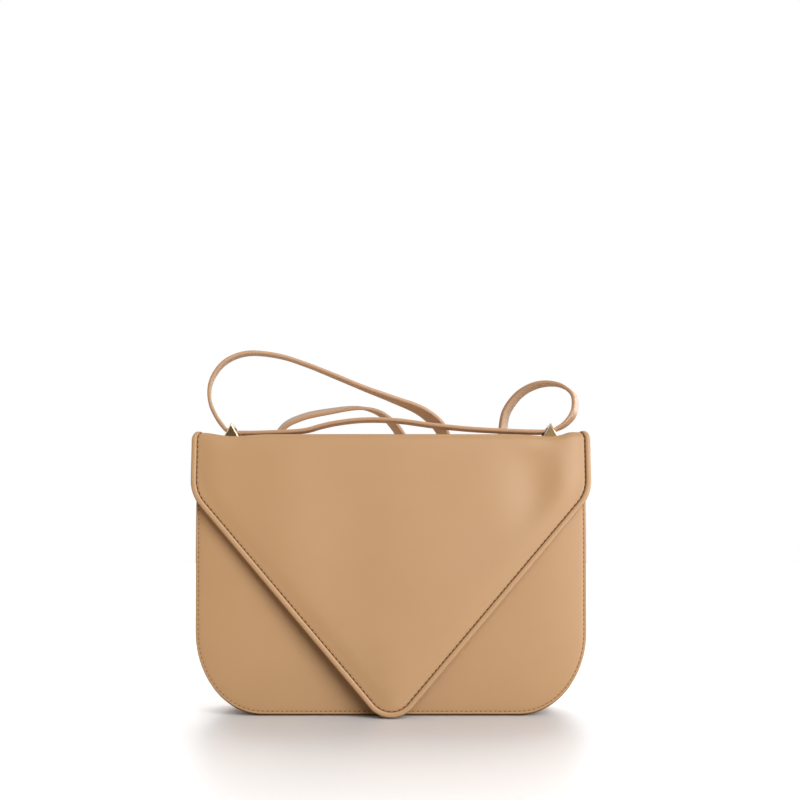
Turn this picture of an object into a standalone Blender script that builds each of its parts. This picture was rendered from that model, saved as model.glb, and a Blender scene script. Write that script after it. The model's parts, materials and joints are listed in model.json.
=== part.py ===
"""Envelope shoulder bag with a pointed flap and a strap threaded through two stirrup rings.

Frame: +Z up, the front faces -Y, the origin is the centre of the base on the floor.
Sizes below are in millimetres, and the meshes are made in metres.
"""

import math

import bmesh
import bpy
import numpy as np
from mathutils import Matrix, Vector

MM = 0.001

# Clearance between pieces that touch
GAP = 0.3

# Body of the bag
BODY_WIDTH = 252.0
PANEL_TOP = 176.0
PANEL_FOOT = 1.2
BASE_DEPTH = 56.0
TOP_DEPTH = 25.0
CORNER_WIDTH = 40.0
CORNER_HEIGHT = 48.0
CORNER_STEPS = 10
PANEL_THICK = 1.6
GUSSET_THICK = 1.2
FLANGE_WIDTH = 7.0
GUSSET_DROP = 2.0
BOARD_THICK = 1.1
BASE_BOARD_THICK = 1.5
LINING_THICK = 0.6
FACING_THICK = 1.0
FACING_HEIGHT = 25.0
POCKET_WIDTH = 150.0
POCKET_HEIGHT = 80.0
POCKET_FOOT = 45.0
POCKET_THICK = 0.8

# Flap, with its outline measured along its outer face from the seam on the front ridge
FLAP_OVERHANG = 4.0
TIP_HEIGHT = 0.8
FLAP_LEAN = math.radians(8.0)
EDGE_ANGLE = math.radians(49.6)
FLAP_CORNER_RADIUS = 27.0
TIP_RADIUS = 18.0
BEND_RADIUS = 5.0
MOUTH_GAP = 2.0
FLAP_STANDOFF = 0.5
FLAP_LEATHER = 1.4
FLAP_BOARD = 0.8
SEAM_GAP = 0.3
ROLL_WIDTH = 3.7
ROLL_PROUD = 0.8
ROLL_RAMP = 4.0
TAIL_LENGTH = 32.0
TAIL_EDGE = 1.6

# Closing magnets
MAGNET_RADIUS = 8.0
MAGNET_THICK = 0.8
MAGNET_FROM_TIP = 28.0

# Stirrup rings and their fixings
RING_INSET = 24.8
RING_HEIGHT = 8.2
RING_WALL = 1.7
RING_SIDE_PLAY = 0.8
RING_FLOOR = 0.9
RING_CROWN = 2.3
SCREW_SPREAD = 5.0
SCREW_RADIUS = 1.0
SCREW_PLAY = 0.3
SCREW_HEAD_RADIUS = 2.0
SCREW_HEAD_THICK = 0.5
RING_PLATE_LENGTH = 12.0
RING_PLATE_WIDTH = 16.0
RING_PLATE_THICK = 0.8

# Strap, its buckle and its keepers
STRAP_WIDTH = 14.0
STRAP_THICK = 2.4
SKIVED = 1.2
BUCKLE_X = -5.0
BUCKLE_Y = 73.0
BUCKLE_LENGTH = 18.3
BUCKLE_SIDE_PLAY = 1.2
BUCKLE_WIRE = 2.2
PRONG_WIDTH = 2.6
PRONG_THICK = 1.2
PRONG_OVERHANG = 1.0
KEEPER_THICK = 1.1
KEEPER_LIFT = 0.1
KEEPER_SIDE_PLAY = 0.5
FIXED_KEEPER_X = -23.0
FIXED_KEEPER_LENGTH = 5.0
SLIDING_KEEPER_X = -40.0
SLIDING_KEEPER_LENGTH = 6.0
RETURN_END_X = -27.0
STRAP_TIP_X = -62.0
PUNCH_RADIUS = 1.3
PUNCH_STEP = 17.0
PRONG_SLOT_LENGTH = 8.8
PRONG_SLOT_PLAY = 0.4

# Worked out from the sizes above
WALL_LEAN = math.atan2((BASE_DEPTH - TOP_DEPTH) / 2.0, PANEL_TOP)
FLAP_THICK = FLAP_LEATHER + FLAP_BOARD + LINING_THICK + 2.0 * GAP
FLAP_TOP = PANEL_TOP + MOUTH_GAP + FLAP_THICK
FLAP_WIDTH = BODY_WIDTH + 2.0 * FLAP_OVERHANG
FLAP_BEND = BEND_RADIUS * (math.pi / 2.0 - FLAP_LEAN)
BEND_DROP = BEND_RADIUS * (1.0 - math.sin(FLAP_LEAN))
FLAP_LENGTH = FLAP_BEND + (FLAP_TOP - BEND_DROP - TIP_HEIGHT) / math.cos(FLAP_LEAN)
RING_X = FLAP_WIDTH / 2.0 - RING_INSET
SEAM_Y = TOP_DEPTH / 2.0 + FLAP_STANDOFF - (BEND_RADIUS - FLAP_THICK)
LAYER_TWO = PANEL_THICK + GAP
LAYER_THREE = LAYER_TWO + GUSSET_THICK + GAP
LAYER_FOUR = LAYER_THREE + FACING_THICK + GAP
RING_GAP = STRAP_WIDTH + 2.0 * RING_SIDE_PLAY
RING_FOOT = FLAP_TOP + GAP
STACK_FLOOR = KEEPER_LIFT + KEEPER_THICK + GAP
BAR_REACH = BUCKLE_WIRE / math.sqrt(2.0) + GAP
FOLD_RADIUS = BAR_REACH + SKIVED / 2.0
BAR_Z = STACK_FLOOR + SKIVED / 2.0 + FOLD_RADIUS

LEATHER = (0.552, 0.333, 0.162, 1.0)
EDGE_LEATHER = (0.500, 0.290, 0.135, 1.0)
LINING = (0.420, 0.270, 0.150, 1.0)
BOARD = (0.520, 0.450, 0.360, 1.0)
BRONZE = (0.480, 0.330, 0.170, 1.0)
STEEL = (0.550, 0.550, 0.560, 1.0)


def clear_scene():
    """Removes what a new file holds."""
    for item in list(bpy.data.objects):
        bpy.data.objects.remove(item, do_unlink=True)


def material(name, colour, roughness, metallic=0.0):
    """A plain finish for one piece."""
    made = bpy.data.materials.new(name)
    made.use_nodes = True
    shader = made.node_tree.nodes["Principled BSDF"]
    shader.inputs["Base Color"].default_value = colour
    shader.inputs["Roughness"].default_value = roughness
    shader.inputs["Metallic"].default_value = metallic
    return made


def axis_empty(name, x, y, z, parent=None):
    """A guide on a joint's axis, which the moving pieces hang from."""
    guide = bpy.data.objects.new(name, None)
    bpy.context.collection.objects.link(guide)
    guide.empty_display_size = 0.02
    guide["place"] = (x * MM, y * MM, z * MM)
    here = Vector(guide["place"])
    if parent is not None:
        guide.parent = parent
        here = here - Vector(parent["place"])
    guide.location = here
    return guide


def piece(name, mesh, finish, parent=None):
    """Puts a mesh that was made in the bag's frame into the scene as one named piece."""
    made = bpy.data.objects.new(name, mesh)
    bpy.context.collection.objects.link(made)
    colour, roughness, metallic = finish
    mesh.materials.append(material(name, colour, roughness, metallic))
    if parent is not None:
        mesh.transform(Matrix.Translation(-Vector(parent["place"])))
        made.parent = parent
    return made


def closed_mesh(name, vertices, faces):
    """A mesh in metres whose faces all point outwards."""
    mesh = bpy.data.meshes.new(name)
    mesh.from_pydata([tuple(v * MM) for v in vertices], [], faces)
    shape = bmesh.new()
    shape.from_mesh(mesh)
    bmesh.ops.recalc_face_normals(shape, faces=shape.faces)
    shape.to_mesh(mesh)
    shape.free()
    return mesh


def sheet_mesh(name, outer, inner):
    """The closed solid between two equal grids of points, one on each face of a sheet."""
    rows, columns = outer.shape[:2]
    count = rows * columns
    number = np.arange(count).reshape(rows, columns)
    a = number[:-1, :-1].ravel()
    b = number[:-1, 1:].ravel()
    c = number[1:, 1:].ravel()
    d = number[1:, :-1].ravel()
    faces = [tuple(f) for f in np.stack([a, b, c, d], 1).tolist()]
    faces += [tuple(f) for f in (np.stack([d, c, b, a], 1) + count).tolist()]
    rim = np.concatenate([number[0, :], number[1:, -1], number[-1, -2::-1], number[-2:0:-1, 0]])
    following = np.roll(rim, -1)
    faces += [tuple(f) for f in np.stack([following, rim, rim + count, following + count], 1).tolist()]
    vertices = np.concatenate([outer.reshape(-1, 3), inner.reshape(-1, 3)])
    return closed_mesh(name, vertices, faces)


def box_mesh(name, low, high):
    """A box between two corners."""
    x = np.array([low[0], high[0]])
    y = np.array([low[1], high[1]])
    corner = np.stack(np.meshgrid(x, y, indexing="ij"), -1)
    outer = np.dstack([corner, np.full((2, 2), high[2])])
    inner = np.dstack([corner, np.full((2, 2), low[2])])
    return sheet_mesh(name, outer, inner)


def disc_mesh(name, centre, axis, radius, thick, sides=24):
    """A round disc or shank about an axis through its centre."""
    shape = bmesh.new()
    turn = Vector(axis).to_track_quat("Z", "Y").to_matrix().to_4x4()
    place = Matrix.Translation(Vector(centre) * MM) @ turn
    bmesh.ops.create_cone(
        shape,
        cap_ends=True,
        segments=sides,
        radius1=radius * MM,
        radius2=radius * MM,
        depth=thick * MM,
        matrix=place,
    )
    mesh = bpy.data.meshes.new(name)
    shape.to_mesh(mesh)
    shape.free()
    return mesh


def cut(target, mesh):
    """Takes a shape out of a piece, with a cutter that isn't itself a piece."""
    cutter = bpy.data.objects.new(mesh.name + "_cutter", mesh)
    bpy.context.collection.objects.link(cutter)
    if target.parent is not None:
        mesh.transform(Matrix.Translation(-Vector(target.parent["place"])))
        cutter.parent = target.parent
    cutter.hide_render = True
    cutter.display_type = "WIRE"
    change = target.modifiers.new(mesh.name, "BOOLEAN")
    change.operation = "DIFFERENCE"
    change.object = cutter


def wall_y(side, z, inward):
    """Y of a layer of the front (side -1) or back (side 1) wall, inward of its outer face."""
    return side * (BASE_DEPTH / 2.0 - z * math.tan(WALL_LEAN) - inward / math.cos(WALL_LEAN))


def body_outline(inset, foot=PANEL_FOOT):
    """X and Z from the side down round the bottom corners to the other side.

    The corners are quarters of ellipses, and an inset shortens their two half axes alike. It is
    one number, or one for each step from the side to the base.
    """
    angle = np.linspace(math.pi / 2.0, 0.0, CORNER_STEPS + 1)
    x = BODY_WIDTH / 2.0 - CORNER_WIDTH + (CORNER_WIDTH - inset) * np.sin(angle)
    z = foot + CORNER_HEIGHT - (CORNER_HEIGHT - inset) * np.cos(angle)
    base = np.linspace(-x[-1], x[-1], 5)[1:-1]
    return np.concatenate([-x, base, x[::-1]]), np.concatenate([z, np.full(3, z[-1]), z[::-1]])


def wall_sheet(name, side, inward, thick, inset, top, bottom=None):
    """A flat layer of a wall: it fills the body's outline, or the part of it above bottom."""
    x, foot = body_outline(inset)
    if bottom is not None:
        foot = np.maximum(foot, bottom)
    z = np.stack([foot, np.full_like(foot, top)], 1)
    x = np.repeat(x[:, None], 2, 1)
    outer = np.stack([x, wall_y(side, z, inward), z], -1)
    inner = np.stack([x, wall_y(side, z, inward + thick), z], -1)
    return sheet_mesh(name, outer, inner)


def gusset_mesh(name, insets, thick, inward_out, inward_in, flange, top):
    """A band round the sides and base, as wide as the wedge between the walls at each height.

    With a flange it turns in along both walls, and each flange lies flat on its wall.
    """
    reach = [0.0, thick]
    if flange:
        reach.append(flange)
    lines = []
    for depth in reach:
        x, z = body_outline(insets + depth, foot=0.0)
        x = np.concatenate([x[:1], x, x[-1:]])
        z = np.concatenate([[top], z, [top]])
        lines.append((x, z))

    def row(line, side, inward):
        x, z = lines[line]
        return np.stack([x, wall_y(side, z, inward), z], -1)

    outer = [row(0, -1, inward_out), row(0, 1, inward_out)]
    inner = [row(1, -1, inward_in), row(1, 1, inward_in)]
    if flange:
        outer = [row(2, -1, inward_out)] + outer + [row(2, 1, inward_out)]
        inner = [row(2, -1, inward_in)] + inner + [row(2, 1, inward_in)]
    return sheet_mesh(name, np.stack(outer, 1), np.stack(inner, 1))


def flap_outline(inset, arc_steps=6, tip_steps=10):
    """Half width and distance from the seam along the flap's edge, from side to side.

    Each side runs straight, turns by an arc into a slanting edge, and the two slanting edges
    meet in the rounded tip. An inset gives the exact parallel curve.
    """
    half = FLAP_WIDTH / 2.0 - inset
    corner = FLAP_CORNER_RADIUS - inset
    tip = TIP_RADIUS - inset
    point = FLAP_LENGTH - inset + tip * (1.0 / math.cos(EDGE_ANGLE) - 1.0)
    shoulder = point - half * math.tan(EDGE_ANGLE)
    turn = math.pi / 2.0 - EDGE_ANGLE
    start = shoulder - corner * math.tan(turn / 2.0)
    swing = np.linspace(0.0, turn, arc_steps + 1)
    corner_x = half - corner + corner * np.cos(swing)
    corner_v = start + corner * np.sin(swing)
    sweep = np.linspace(math.pi / 2.0 - EDGE_ANGLE, math.pi / 2.0, tip_steps + 1)
    tip_x = tip * np.cos(sweep)
    tip_v = FLAP_LENGTH - inset - tip + tip * np.sin(sweep)
    middle = np.linspace(0.0, 1.0, 6)[1:-1]
    edge_x = corner_x[-1] + (tip_x[0] - corner_x[-1]) * middle
    edge_v = corner_v[-1] + (tip_v[0] - corner_v[-1]) * middle
    x = np.concatenate([corner_x, edge_x, tip_x])
    v = np.concatenate([corner_v, edge_v, tip_v])
    return np.concatenate([-x, x[-2::-1]]), np.concatenate([v, v[-2::-1]])


def folded(side, x, v, depth, lean):
    """Places the flat leather: over the ridge by an arc, then down the slope at its lean."""
    turn = math.pi / 2.0 - lean
    angle = np.clip(v / BEND_RADIUS, 0.0, turn)
    run = np.maximum(v - BEND_RADIUS * turn, 0.0)
    radius = BEND_RADIUS - depth
    y = SEAM_Y + radius * np.sin(angle) + run * math.sin(lean)
    z = FLAP_TOP - BEND_RADIUS + radius * np.cos(angle) - run * math.cos(lean)
    return np.stack([x + 0.0 * y, side * y, z], -1)


def ridge_rows(lean, steps=6):
    """Distances from the seam at which the bend over the ridge has its rows."""
    return np.linspace(SEAM_GAP / 2.0, BEND_RADIUS * (math.pi / 2.0 - lean), steps + 1)


def flap_layer(name, depth, thick):
    """One layer of the flap's front, inside its edge roll."""
    x, end = flap_outline(ROLL_WIDTH + GAP)
    bend = ridge_rows(FLAP_LEAN)
    v = np.concatenate([np.repeat(bend[None, :], len(x), 0), end[:, None]], 1)
    x = np.repeat(x[:, None], v.shape[1], 1)
    outer = folded(-1, x, v, depth, FLAP_LEAN)
    inner = folded(-1, x, v, depth + thick, FLAP_LEAN)
    return sheet_mesh(name, outer, inner)


def flap_roll_mesh(name):
    """The raised roll along the flap's edge: a rounded section carried round the outline.

    It rises from nothing at the seam to its full height where the bend ends, so that it
    clears the top strip's rolls as the flap folds up.
    """
    profile = [(0.0, 0.35), (0.15, -0.6), (0.5, -1.0), (0.85, -0.6), (1.0, 0.35)]
    bend = ridge_rows(FLAP_LEAN)
    outer = []
    inner = []
    for across, lift in profile:
        x, v = flap_outline(across * ROLL_WIDTH)
        x = np.concatenate([np.full(len(bend), x[0]), x, np.full(len(bend), x[-1])])
        v = np.concatenate([bend, v, bend[::-1]])
        rise = ROLL_PROUD * np.clip(v / FLAP_BEND, 0.0, 1.0) if lift < 0.0 else FLAP_LEATHER
        sink = FLAP_THICK - (0.6 if across in (0.0, 1.0) else 0.0)
        outer.append(folded(-1, x, v, lift * rise, FLAP_LEAN))
        inner.append(folded(-1, x, v, sink, FLAP_LEAN))
    return sheet_mesh(name, np.stack(outer, 1), np.stack(inner, 1))


def top_roll_mesh(name, side):
    """The raised roll along one end of the top strip, level with the strip at both seams."""
    low = FLAP_WIDTH / 2.0 - ROLL_WIDTH
    x = side * (low + ROLL_WIDTH * np.array([0.0, 0.15, 0.5, 0.85, 1.0]))
    reach = SEAM_Y - SEAM_GAP / 2.0
    y = np.array([-reach, ROLL_RAMP - reach, reach - ROLL_RAMP, reach])
    proud = ROLL_PROUD * np.array([0.0, 1.0, 1.0, 0.0])
    section = np.array([0.0, 0.6, 1.0, 0.6, 0.0])
    drop = 0.35 * FLAP_LEATHER * np.array([1.0, 0.0, 0.0, 0.0, 1.0])
    xx, yy = np.meshgrid(x, y, indexing="ij")
    top = FLAP_TOP + section[:, None] * proud[None, :] - drop[:, None]
    outer = np.stack([xx, yy, top], -1)
    inner = np.stack([xx, yy, np.full_like(xx, FLAP_TOP - FLAP_THICK)], -1)
    return sheet_mesh(name, outer, inner)


def tail_mesh(name):
    """The end of the flap's leather, over the back ridge and down the back, thinner at its edge."""
    bend = ridge_rows(WALL_LEAN)
    v = np.concatenate([bend, [bend[-1] + TAIL_LENGTH]])
    x = np.linspace(-BODY_WIDTH / 2.0, BODY_WIDTH / 2.0, 5)
    xx, vv = np.meshgrid(x, v, indexing="ij")
    share = np.clip((vv - bend[-1]) / TAIL_LENGTH, 0.0, 1.0)
    outer = folded(1, xx, vv, share * (FLAP_THICK - TAIL_EDGE), WALL_LEAN)
    inner = folded(1, xx, vv, np.full_like(vv, FLAP_THICK), WALL_LEAN)
    return sheet_mesh(name, outer, inner)


def ring_mesh(name, x):
    """A stirrup ring's outer form: a three-sided bar that lies across the bag."""
    half = RING_HEIGHT / math.sqrt(3.0)
    reach = RING_GAP / 2.0 + RING_WALL
    top = RING_FOOT + RING_HEIGHT
    vertices = []
    for y in (-reach, reach):
        vertices += [(x - half, y, RING_FOOT), (x + half, y, RING_FOOT), (x, y, top)]
    faces = [(0, 1, 2), (5, 4, 3), (0, 3, 4, 1), (1, 4, 5, 2), (2, 5, 3, 0)]
    return closed_mesh(name, np.array(vertices), faces)


def strap_route():
    """The strap's centre line by hand, each point with the strap's thickness there.

    It starts at the turned-under end, wraps the buckle's bar, climbs behind the bag, arcs over
    its top, hangs in a bight, loops up on the right, runs through both rings, loops up on the
    left, drops behind the bag again and ends at the tip on top of the buckle.
    """
    full = STRAP_THICK
    low = STACK_FLOOR + full / 2.0
    back = BUCKLE_Y
    turned = STACK_FLOOR + SKIVED / 2.0
    second = STACK_FLOOR + SKIVED + GAP + full / 2.0
    route = [
        (RETURN_END_X, back, turned, SKIVED),
        (BUCKLE_X - 9.0, back, turned, SKIVED),
        (BUCKLE_X - 4.0, back, turned, SKIVED),
    ]
    for turn in np.linspace(-90.0, 90.0, 9):
        x = BUCKLE_X + FOLD_RADIUS * math.cos(math.radians(turn))
        z = BAR_Z + FOLD_RADIUS * math.sin(math.radians(turn))
        route.append((x, back, z, SKIVED))
    route += [
        (BUCKLE_X - 4.0, back, BAR_Z + FOLD_RADIUS - 0.7, SKIVED + 0.2),
        (BUCKLE_X - 9.0, back, second + 0.3, full - 0.2),
        (BUCKLE_X - 15.0, back, second, full),
        (RETURN_END_X, back, second, full),
        (RETURN_END_X - 6.0, back, low + 0.5, full),
        (SLIDING_KEEPER_X, back, low, full),
        (STRAP_TIP_X + 10.0, back, low, full),
        (STRAP_TIP_X, back, low, full),
    ]
    left = -RING_X
    right = RING_X
    top = FLAP_TOP
    rear = TOP_DEPTH / 2.0
    # Up behind the left half of the bag
    route += [
        (left + 31.0, back, top - 176.6, full),
        (left + 20.0, back - 1.0, top - 168.0, full),
        (left + 11.0, back - 6.0, top - 147.0, full),
        (left + 7.0, back - 16.0, top - 121.0, full),
        (left + 5.5, back - 29.0, top - 86.0, full),
        (left + 9.0, rear + 21.5, top - 51.0, full),
        (left + 20.0, rear + 17.0, top - 17.0, full),
    ]
    # The low arc over the middle
    route += [
        (left + 32.4, rear + 15.5, top + 8.9, full),
        (left + 43.8, rear + 15.5, top + 15.1, full),
        (left + 62.3, rear + 15.5, top + 19.0, full),
        (left + 84.8, rear + 15.5, top + 21.7, full),
        (left + 98.0, rear + 15.5, top + 18.6, full),
        (left + 107.8, rear + 15.5, top + 10.8, full),
        (left + 111.6, rear + 15.3, top + 5.0, full),
    ]
    # The bight behind the bag
    route += [
        (left + 117.5, rear + 15.0, top - 6.0, full),
        (left + 128.0, rear + 14.5, top - 25.0, full),
        (left + 139.0, rear + 14.5, top - 43.0, full),
        (left + 150.0, rear + 14.5, top - 54.0, full),
        (right - 48.5, rear + 14.5, top - 57.0, full),
        (right - 38.5, rear + 14.5, top - 51.0, full),
        (right - 31.5, rear + 14.5, top - 36.0, full),
        (right - 28.6, rear + 15.5, top - 14.0, full),
    ]
    # The right loop
    route += [
        (right - 28.4, rear + 16.0, top + 9.0, full),
        (right - 26.0, rear + 11.5, top + 20.4, full),
        (right - 17.0, rear + 5.5, top + 31.2, full),
        (right - 4.4, rear + 0.5, top + 36.2, full),
        (right + 7.8, rear - 3.5, top + 35.0, full),
        (right + 15.6, rear - 7.5, top + 28.0, full),
        (right + 15.6, rear - 10.5, top + 17.6, full),
        (right + 10.0, 0.0, top + 9.2, full),
    ]
    # Through both rings
    route += [
        (right + 4.8, 0.0, top + 5.4, full),
        (right, 0.0, top + 3.7, full),
        (right - 7.0, 0.0, top + 3.4, full),
        (right - 32.0, 0.0, top + 4.2, full),
        (right - 53.0, 0.0, top + 5.4, full),
        (right - 78.0, 0.0, top + 7.9, full),
        (right - 101.0, 0.0, top + 10.9, full),
        (left + 86.0, 0.0, top + 11.4, full),
        (left + 68.0, 0.0, top + 9.3, full),
        (left + 58.5, 0.0, top + 6.6, full),
        (left + 48.0, 0.0, top + 4.0, full),
        (left + 22.0, 0.0, top + 2.9, full),
        (left + 6.0, 0.0, top + 2.7, full),
        (left, 0.0, top + 2.9, full),
        (left - 3.8, 0.0, top + 4.3, full),
        (left - 6.6, 0.0, top + 7.2, full),
    ]
    # The tall left loop
    route += [
        (left - 10.2, -1.5, top + 13.4, full),
        (left - 13.9, -3.0, top + 23.0, full),
        (left - 13.9, -3.0, top + 33.5, full),
        (left - 10.6, -2.0, top + 42.0, full),
        (left - 5.0, -1.0, top + 48.8, full),
        (left + 3.0, 1.0, top + 53.6, full),
        (left + 12.0, 3.0, top + 55.6, full),
        (left + 30.0, 7.0, top + 54.2, full),
        (left + 48.4, 11.0, top + 48.9, full),
        (left + 67.0, 15.0, top + 42.0, full),
        (left + 85.8, 19.5, top + 34.9, full),
        (left + 105.0, rear + 11.5, top + 28.4, full),
        (left + 122.3, rear + 15.5, top + 22.4, full),
        (left + 130.0, rear + 17.0, top + 18.2, full),
        (left + 136.2, rear + 18.5, top + 13.3, full),
        (left + 140.7, rear + 20.0, top + 7.6, full),
    ]
    # Down behind the right half and back to the buckle
    route += [
        (left + 149.0, rear + 24.0, top - 16.0, full),
        (left + 158.5, rear + 29.5, top - 48.0, full),
        (left + 164.0, rear + 33.0, top - 82.0, full),
        (left + 166.0, rear + 38.0, top - 117.0, full),
        (left + 163.0, rear + 45.0, top - 144.0, full),
        (left + 155.0, back - 8.0, top - 164.0, full),
        (left + 143.0, back - 2.0, top - 175.0, full),
        (BUCKLE_X + 30.0, back, KEEPER_LIFT + full / 2.0 + 0.9, full),
        (BUCKLE_X + 19.0, back, KEEPER_LIFT + full / 2.0 + 0.5, full),
        (BUCKLE_X + 14.0, back, KEEPER_LIFT + full / 2.0 + 0.7, full),
        (BUCKLE_X + 10.5, back, BAR_Z - 1.2, full),
        (BUCKLE_X + 7.5, back, BAR_Z + 1.1, full),
        (BUCKLE_X + 4.5, back, BAR_Z + 3.4, full),
        (BUCKLE_X + 2.0, back, BAR_Z + FOLD_RADIUS + 2.0, full),
        (BUCKLE_X - 1.0, back, BAR_Z + FOLD_RADIUS + 2.4, full),
        (BUCKLE_X - 4.5, back, BAR_Z + FOLD_RADIUS + 1.9, full),
        (BUCKLE_X - 9.0, back, second + full + 1.1, full),
        (BUCKLE_X - 15.0, back, second + full + GAP, full),
        (RETURN_END_X, back, second + full + GAP, full),
        (RETURN_END_X - 6.0, back, low + full + GAP + 0.5, full),
        (SLIDING_KEEPER_X, back, low + full + GAP, full),
        (STRAP_TIP_X + 10.0, back, low + full + GAP, full),
        (STRAP_TIP_X, back, low + full + GAP, full),
    ]
    return np.array(route)


def smooth_route(points, spacing):
    """Points at even steps on the smooth curve through the route (Catmull-Rom on chord length)."""
    step = np.linalg.norm(np.diff(points[:, :3], axis=0), axis=1) ** 0.5
    knot = np.concatenate([[0.0], np.cumsum(step)])
    slope = np.gradient(points, knot, axis=0)
    fine = np.concatenate([np.linspace(a, b, 12, endpoint=False) for a, b in zip(knot[:-1], knot[1:])])
    fine = np.append(fine, knot[-1])
    place = np.clip(np.searchsorted(knot, fine, side="right") - 1, 0, len(knot) - 2)
    width = (knot[place + 1] - knot[place])[:, None]
    t = ((fine - knot[place])[:, None]) / width
    start, finish = points[place], points[place + 1]
    leave, arrive = slope[place] * width, slope[place + 1] * width
    curve = (2 * t**3 - 3 * t**2 + 1) * start + (t**3 - 2 * t**2 + t) * leave
    curve += (-2 * t**3 + 3 * t**2) * finish + (t**3 - t**2) * arrive
    travelled = np.concatenate([[0.0], np.cumsum(np.linalg.norm(np.diff(curve[:, :3], axis=0), axis=1))])
    count = int(round(travelled[-1] / spacing))
    even = np.linspace(0.0, travelled[-1], count + 1)
    return np.stack([np.interp(even, travelled, curve[:, k]) for k in range(curve.shape[1])], 1)


def strap_mesh(name):
    """A flat strap along the route, its width across the bag and square to its run."""
    route = smooth_route(strap_route(), 2.4)
    centre, thick = route[:, :3], route[:, 3]
    along = np.gradient(centre, axis=0)
    along /= np.linalg.norm(along, axis=1)[:, None]
    across = np.array([0.0, 1.0, 0.0]) - along * along[:, 1:2]
    across /= np.linalg.norm(across, axis=1)[:, None]
    normal = np.cross(along, across)
    half = across * STRAP_WIDTH / 2.0
    lift = normal * thick[:, None] / 2.0
    outer = np.stack([centre - half + lift, centre + half + lift], 1)
    inner = np.stack([centre - half - lift, centre + half - lift], 1)
    return sheet_mesh(name, outer, inner)


def prong_mesh(name):
    """The buckle's prong: it hooks round the bar and runs flat to its rest on the far side."""
    radius = BAR_REACH + PRONG_THICK / 2.0
    line = []
    for turn in np.linspace(300.0, 90.0, 11):
        x = BUCKLE_X + radius * math.cos(math.radians(turn))
        z = BAR_Z + radius * math.sin(math.radians(turn))
        line.append((x, z))
    rest = BAR_Z + BUCKLE_WIRE / 2.0 + GAP + PRONG_THICK / 2.0
    line.append((BUCKLE_X + BUCKLE_LENGTH / 2.0, rest))
    line.append((BUCKLE_X - BUCKLE_WIRE / 2.0 + BUCKLE_LENGTH + PRONG_OVERHANG, rest))
    line = np.array(line)
    along = np.gradient(line, axis=0)
    along /= np.linalg.norm(along, axis=1)[:, None]
    side = np.stack([-along[:, 1], along[:, 0]], 1) * PRONG_THICK / 2.0
    outer = []
    inner = []
    for edge in (-1, 1):
        y = np.full(len(line), BUCKLE_Y + edge * PRONG_WIDTH / 2.0)
        up = line + side
        down = line - side
        outer.append(np.stack([up[:, 0], y, up[:, 1]], 1))
        inner.append(np.stack([down[:, 0], y, down[:, 1]], 1))
    return sheet_mesh(name, np.stack(outer, 1), np.stack(inner, 1))


def build_body():
    """Walls, gusset, boards and linings."""
    outside = (LEATHER, 0.42, 0.0)
    inside = (LINING, 0.75, 0.0)
    card = (BOARD, 0.85, 0.0)
    board_inset = FLANGE_WIDTH + 0.5
    lining_inset = GUSSET_THICK + GAP
    facing_foot = PANEL_TOP - 0.5 - FACING_HEIGHT
    board_top = PANEL_TOP - GUSSET_DROP
    boards = {}
    for word, side in (("front", -1), ("back", 1)):
        piece(word + "_panel", wall_sheet("panel", side, 0.0, PANEL_THICK, 0.0, PANEL_TOP), outside)
        board = wall_sheet("board", side, LAYER_TWO, BOARD_THICK, board_inset, board_top)
        boards[word] = piece(word + "_board", board, card)
        lining = wall_sheet("lining", side, LAYER_THREE, LINING_THICK, lining_inset, facing_foot - GAP)
        piece(word + "_lining", lining, inside)
        facing = wall_sheet(
            "facing", side, LAYER_THREE, FACING_THICK, lining_inset, PANEL_TOP - 0.5, facing_foot
        )
        piece(word + "_facing", facing, outside)

    band = gusset_mesh(
        "gusset", 0.0, GUSSET_THICK, LAYER_TWO, LAYER_TWO + GUSSET_THICK, FLANGE_WIDTH, board_top
    )
    piece("gusset", band, outside)

    down = np.linspace(0.0, 2.0, CORNER_STEPS + 1).clip(0.0, 1.0)
    raised = GUSSET_THICK + GAP + (BASE_BOARD_THICK + GAP) * down
    skin = gusset_mesh(
        "gusset_lining", raised, LINING_THICK, LAYER_FOUR, LAYER_FOUR, None, board_top - 1.0
    )
    piece("gusset_lining", skin, inside)

    floor = GUSSET_THICK + GAP
    half = BODY_WIDTH / 2.0 - CORNER_WIDTH - 2.0
    reach = wall_y(1, floor + BASE_BOARD_THICK, LAYER_FOUR)
    base = box_mesh("base_board", (-half, -reach, floor), (half, reach, floor + BASE_BOARD_THICK))
    piece("base_board", base, card)

    z = np.array([POCKET_FOOT, POCKET_FOOT + POCKET_HEIGHT])
    x = np.array([-POCKET_WIDTH / 2.0, POCKET_WIDTH / 2.0])
    xx, zz = np.meshgrid(x, z, indexing="ij")
    start = LAYER_THREE + LINING_THICK + GAP
    outer = np.stack([xx, wall_y(1, zz, start), zz], -1)
    inner = np.stack([xx, wall_y(1, zz, start + POCKET_THICK), zz], -1)
    piece("slip_pocket", sheet_mesh("pocket", outer, inner), inside)
    return boards["front"]


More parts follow.
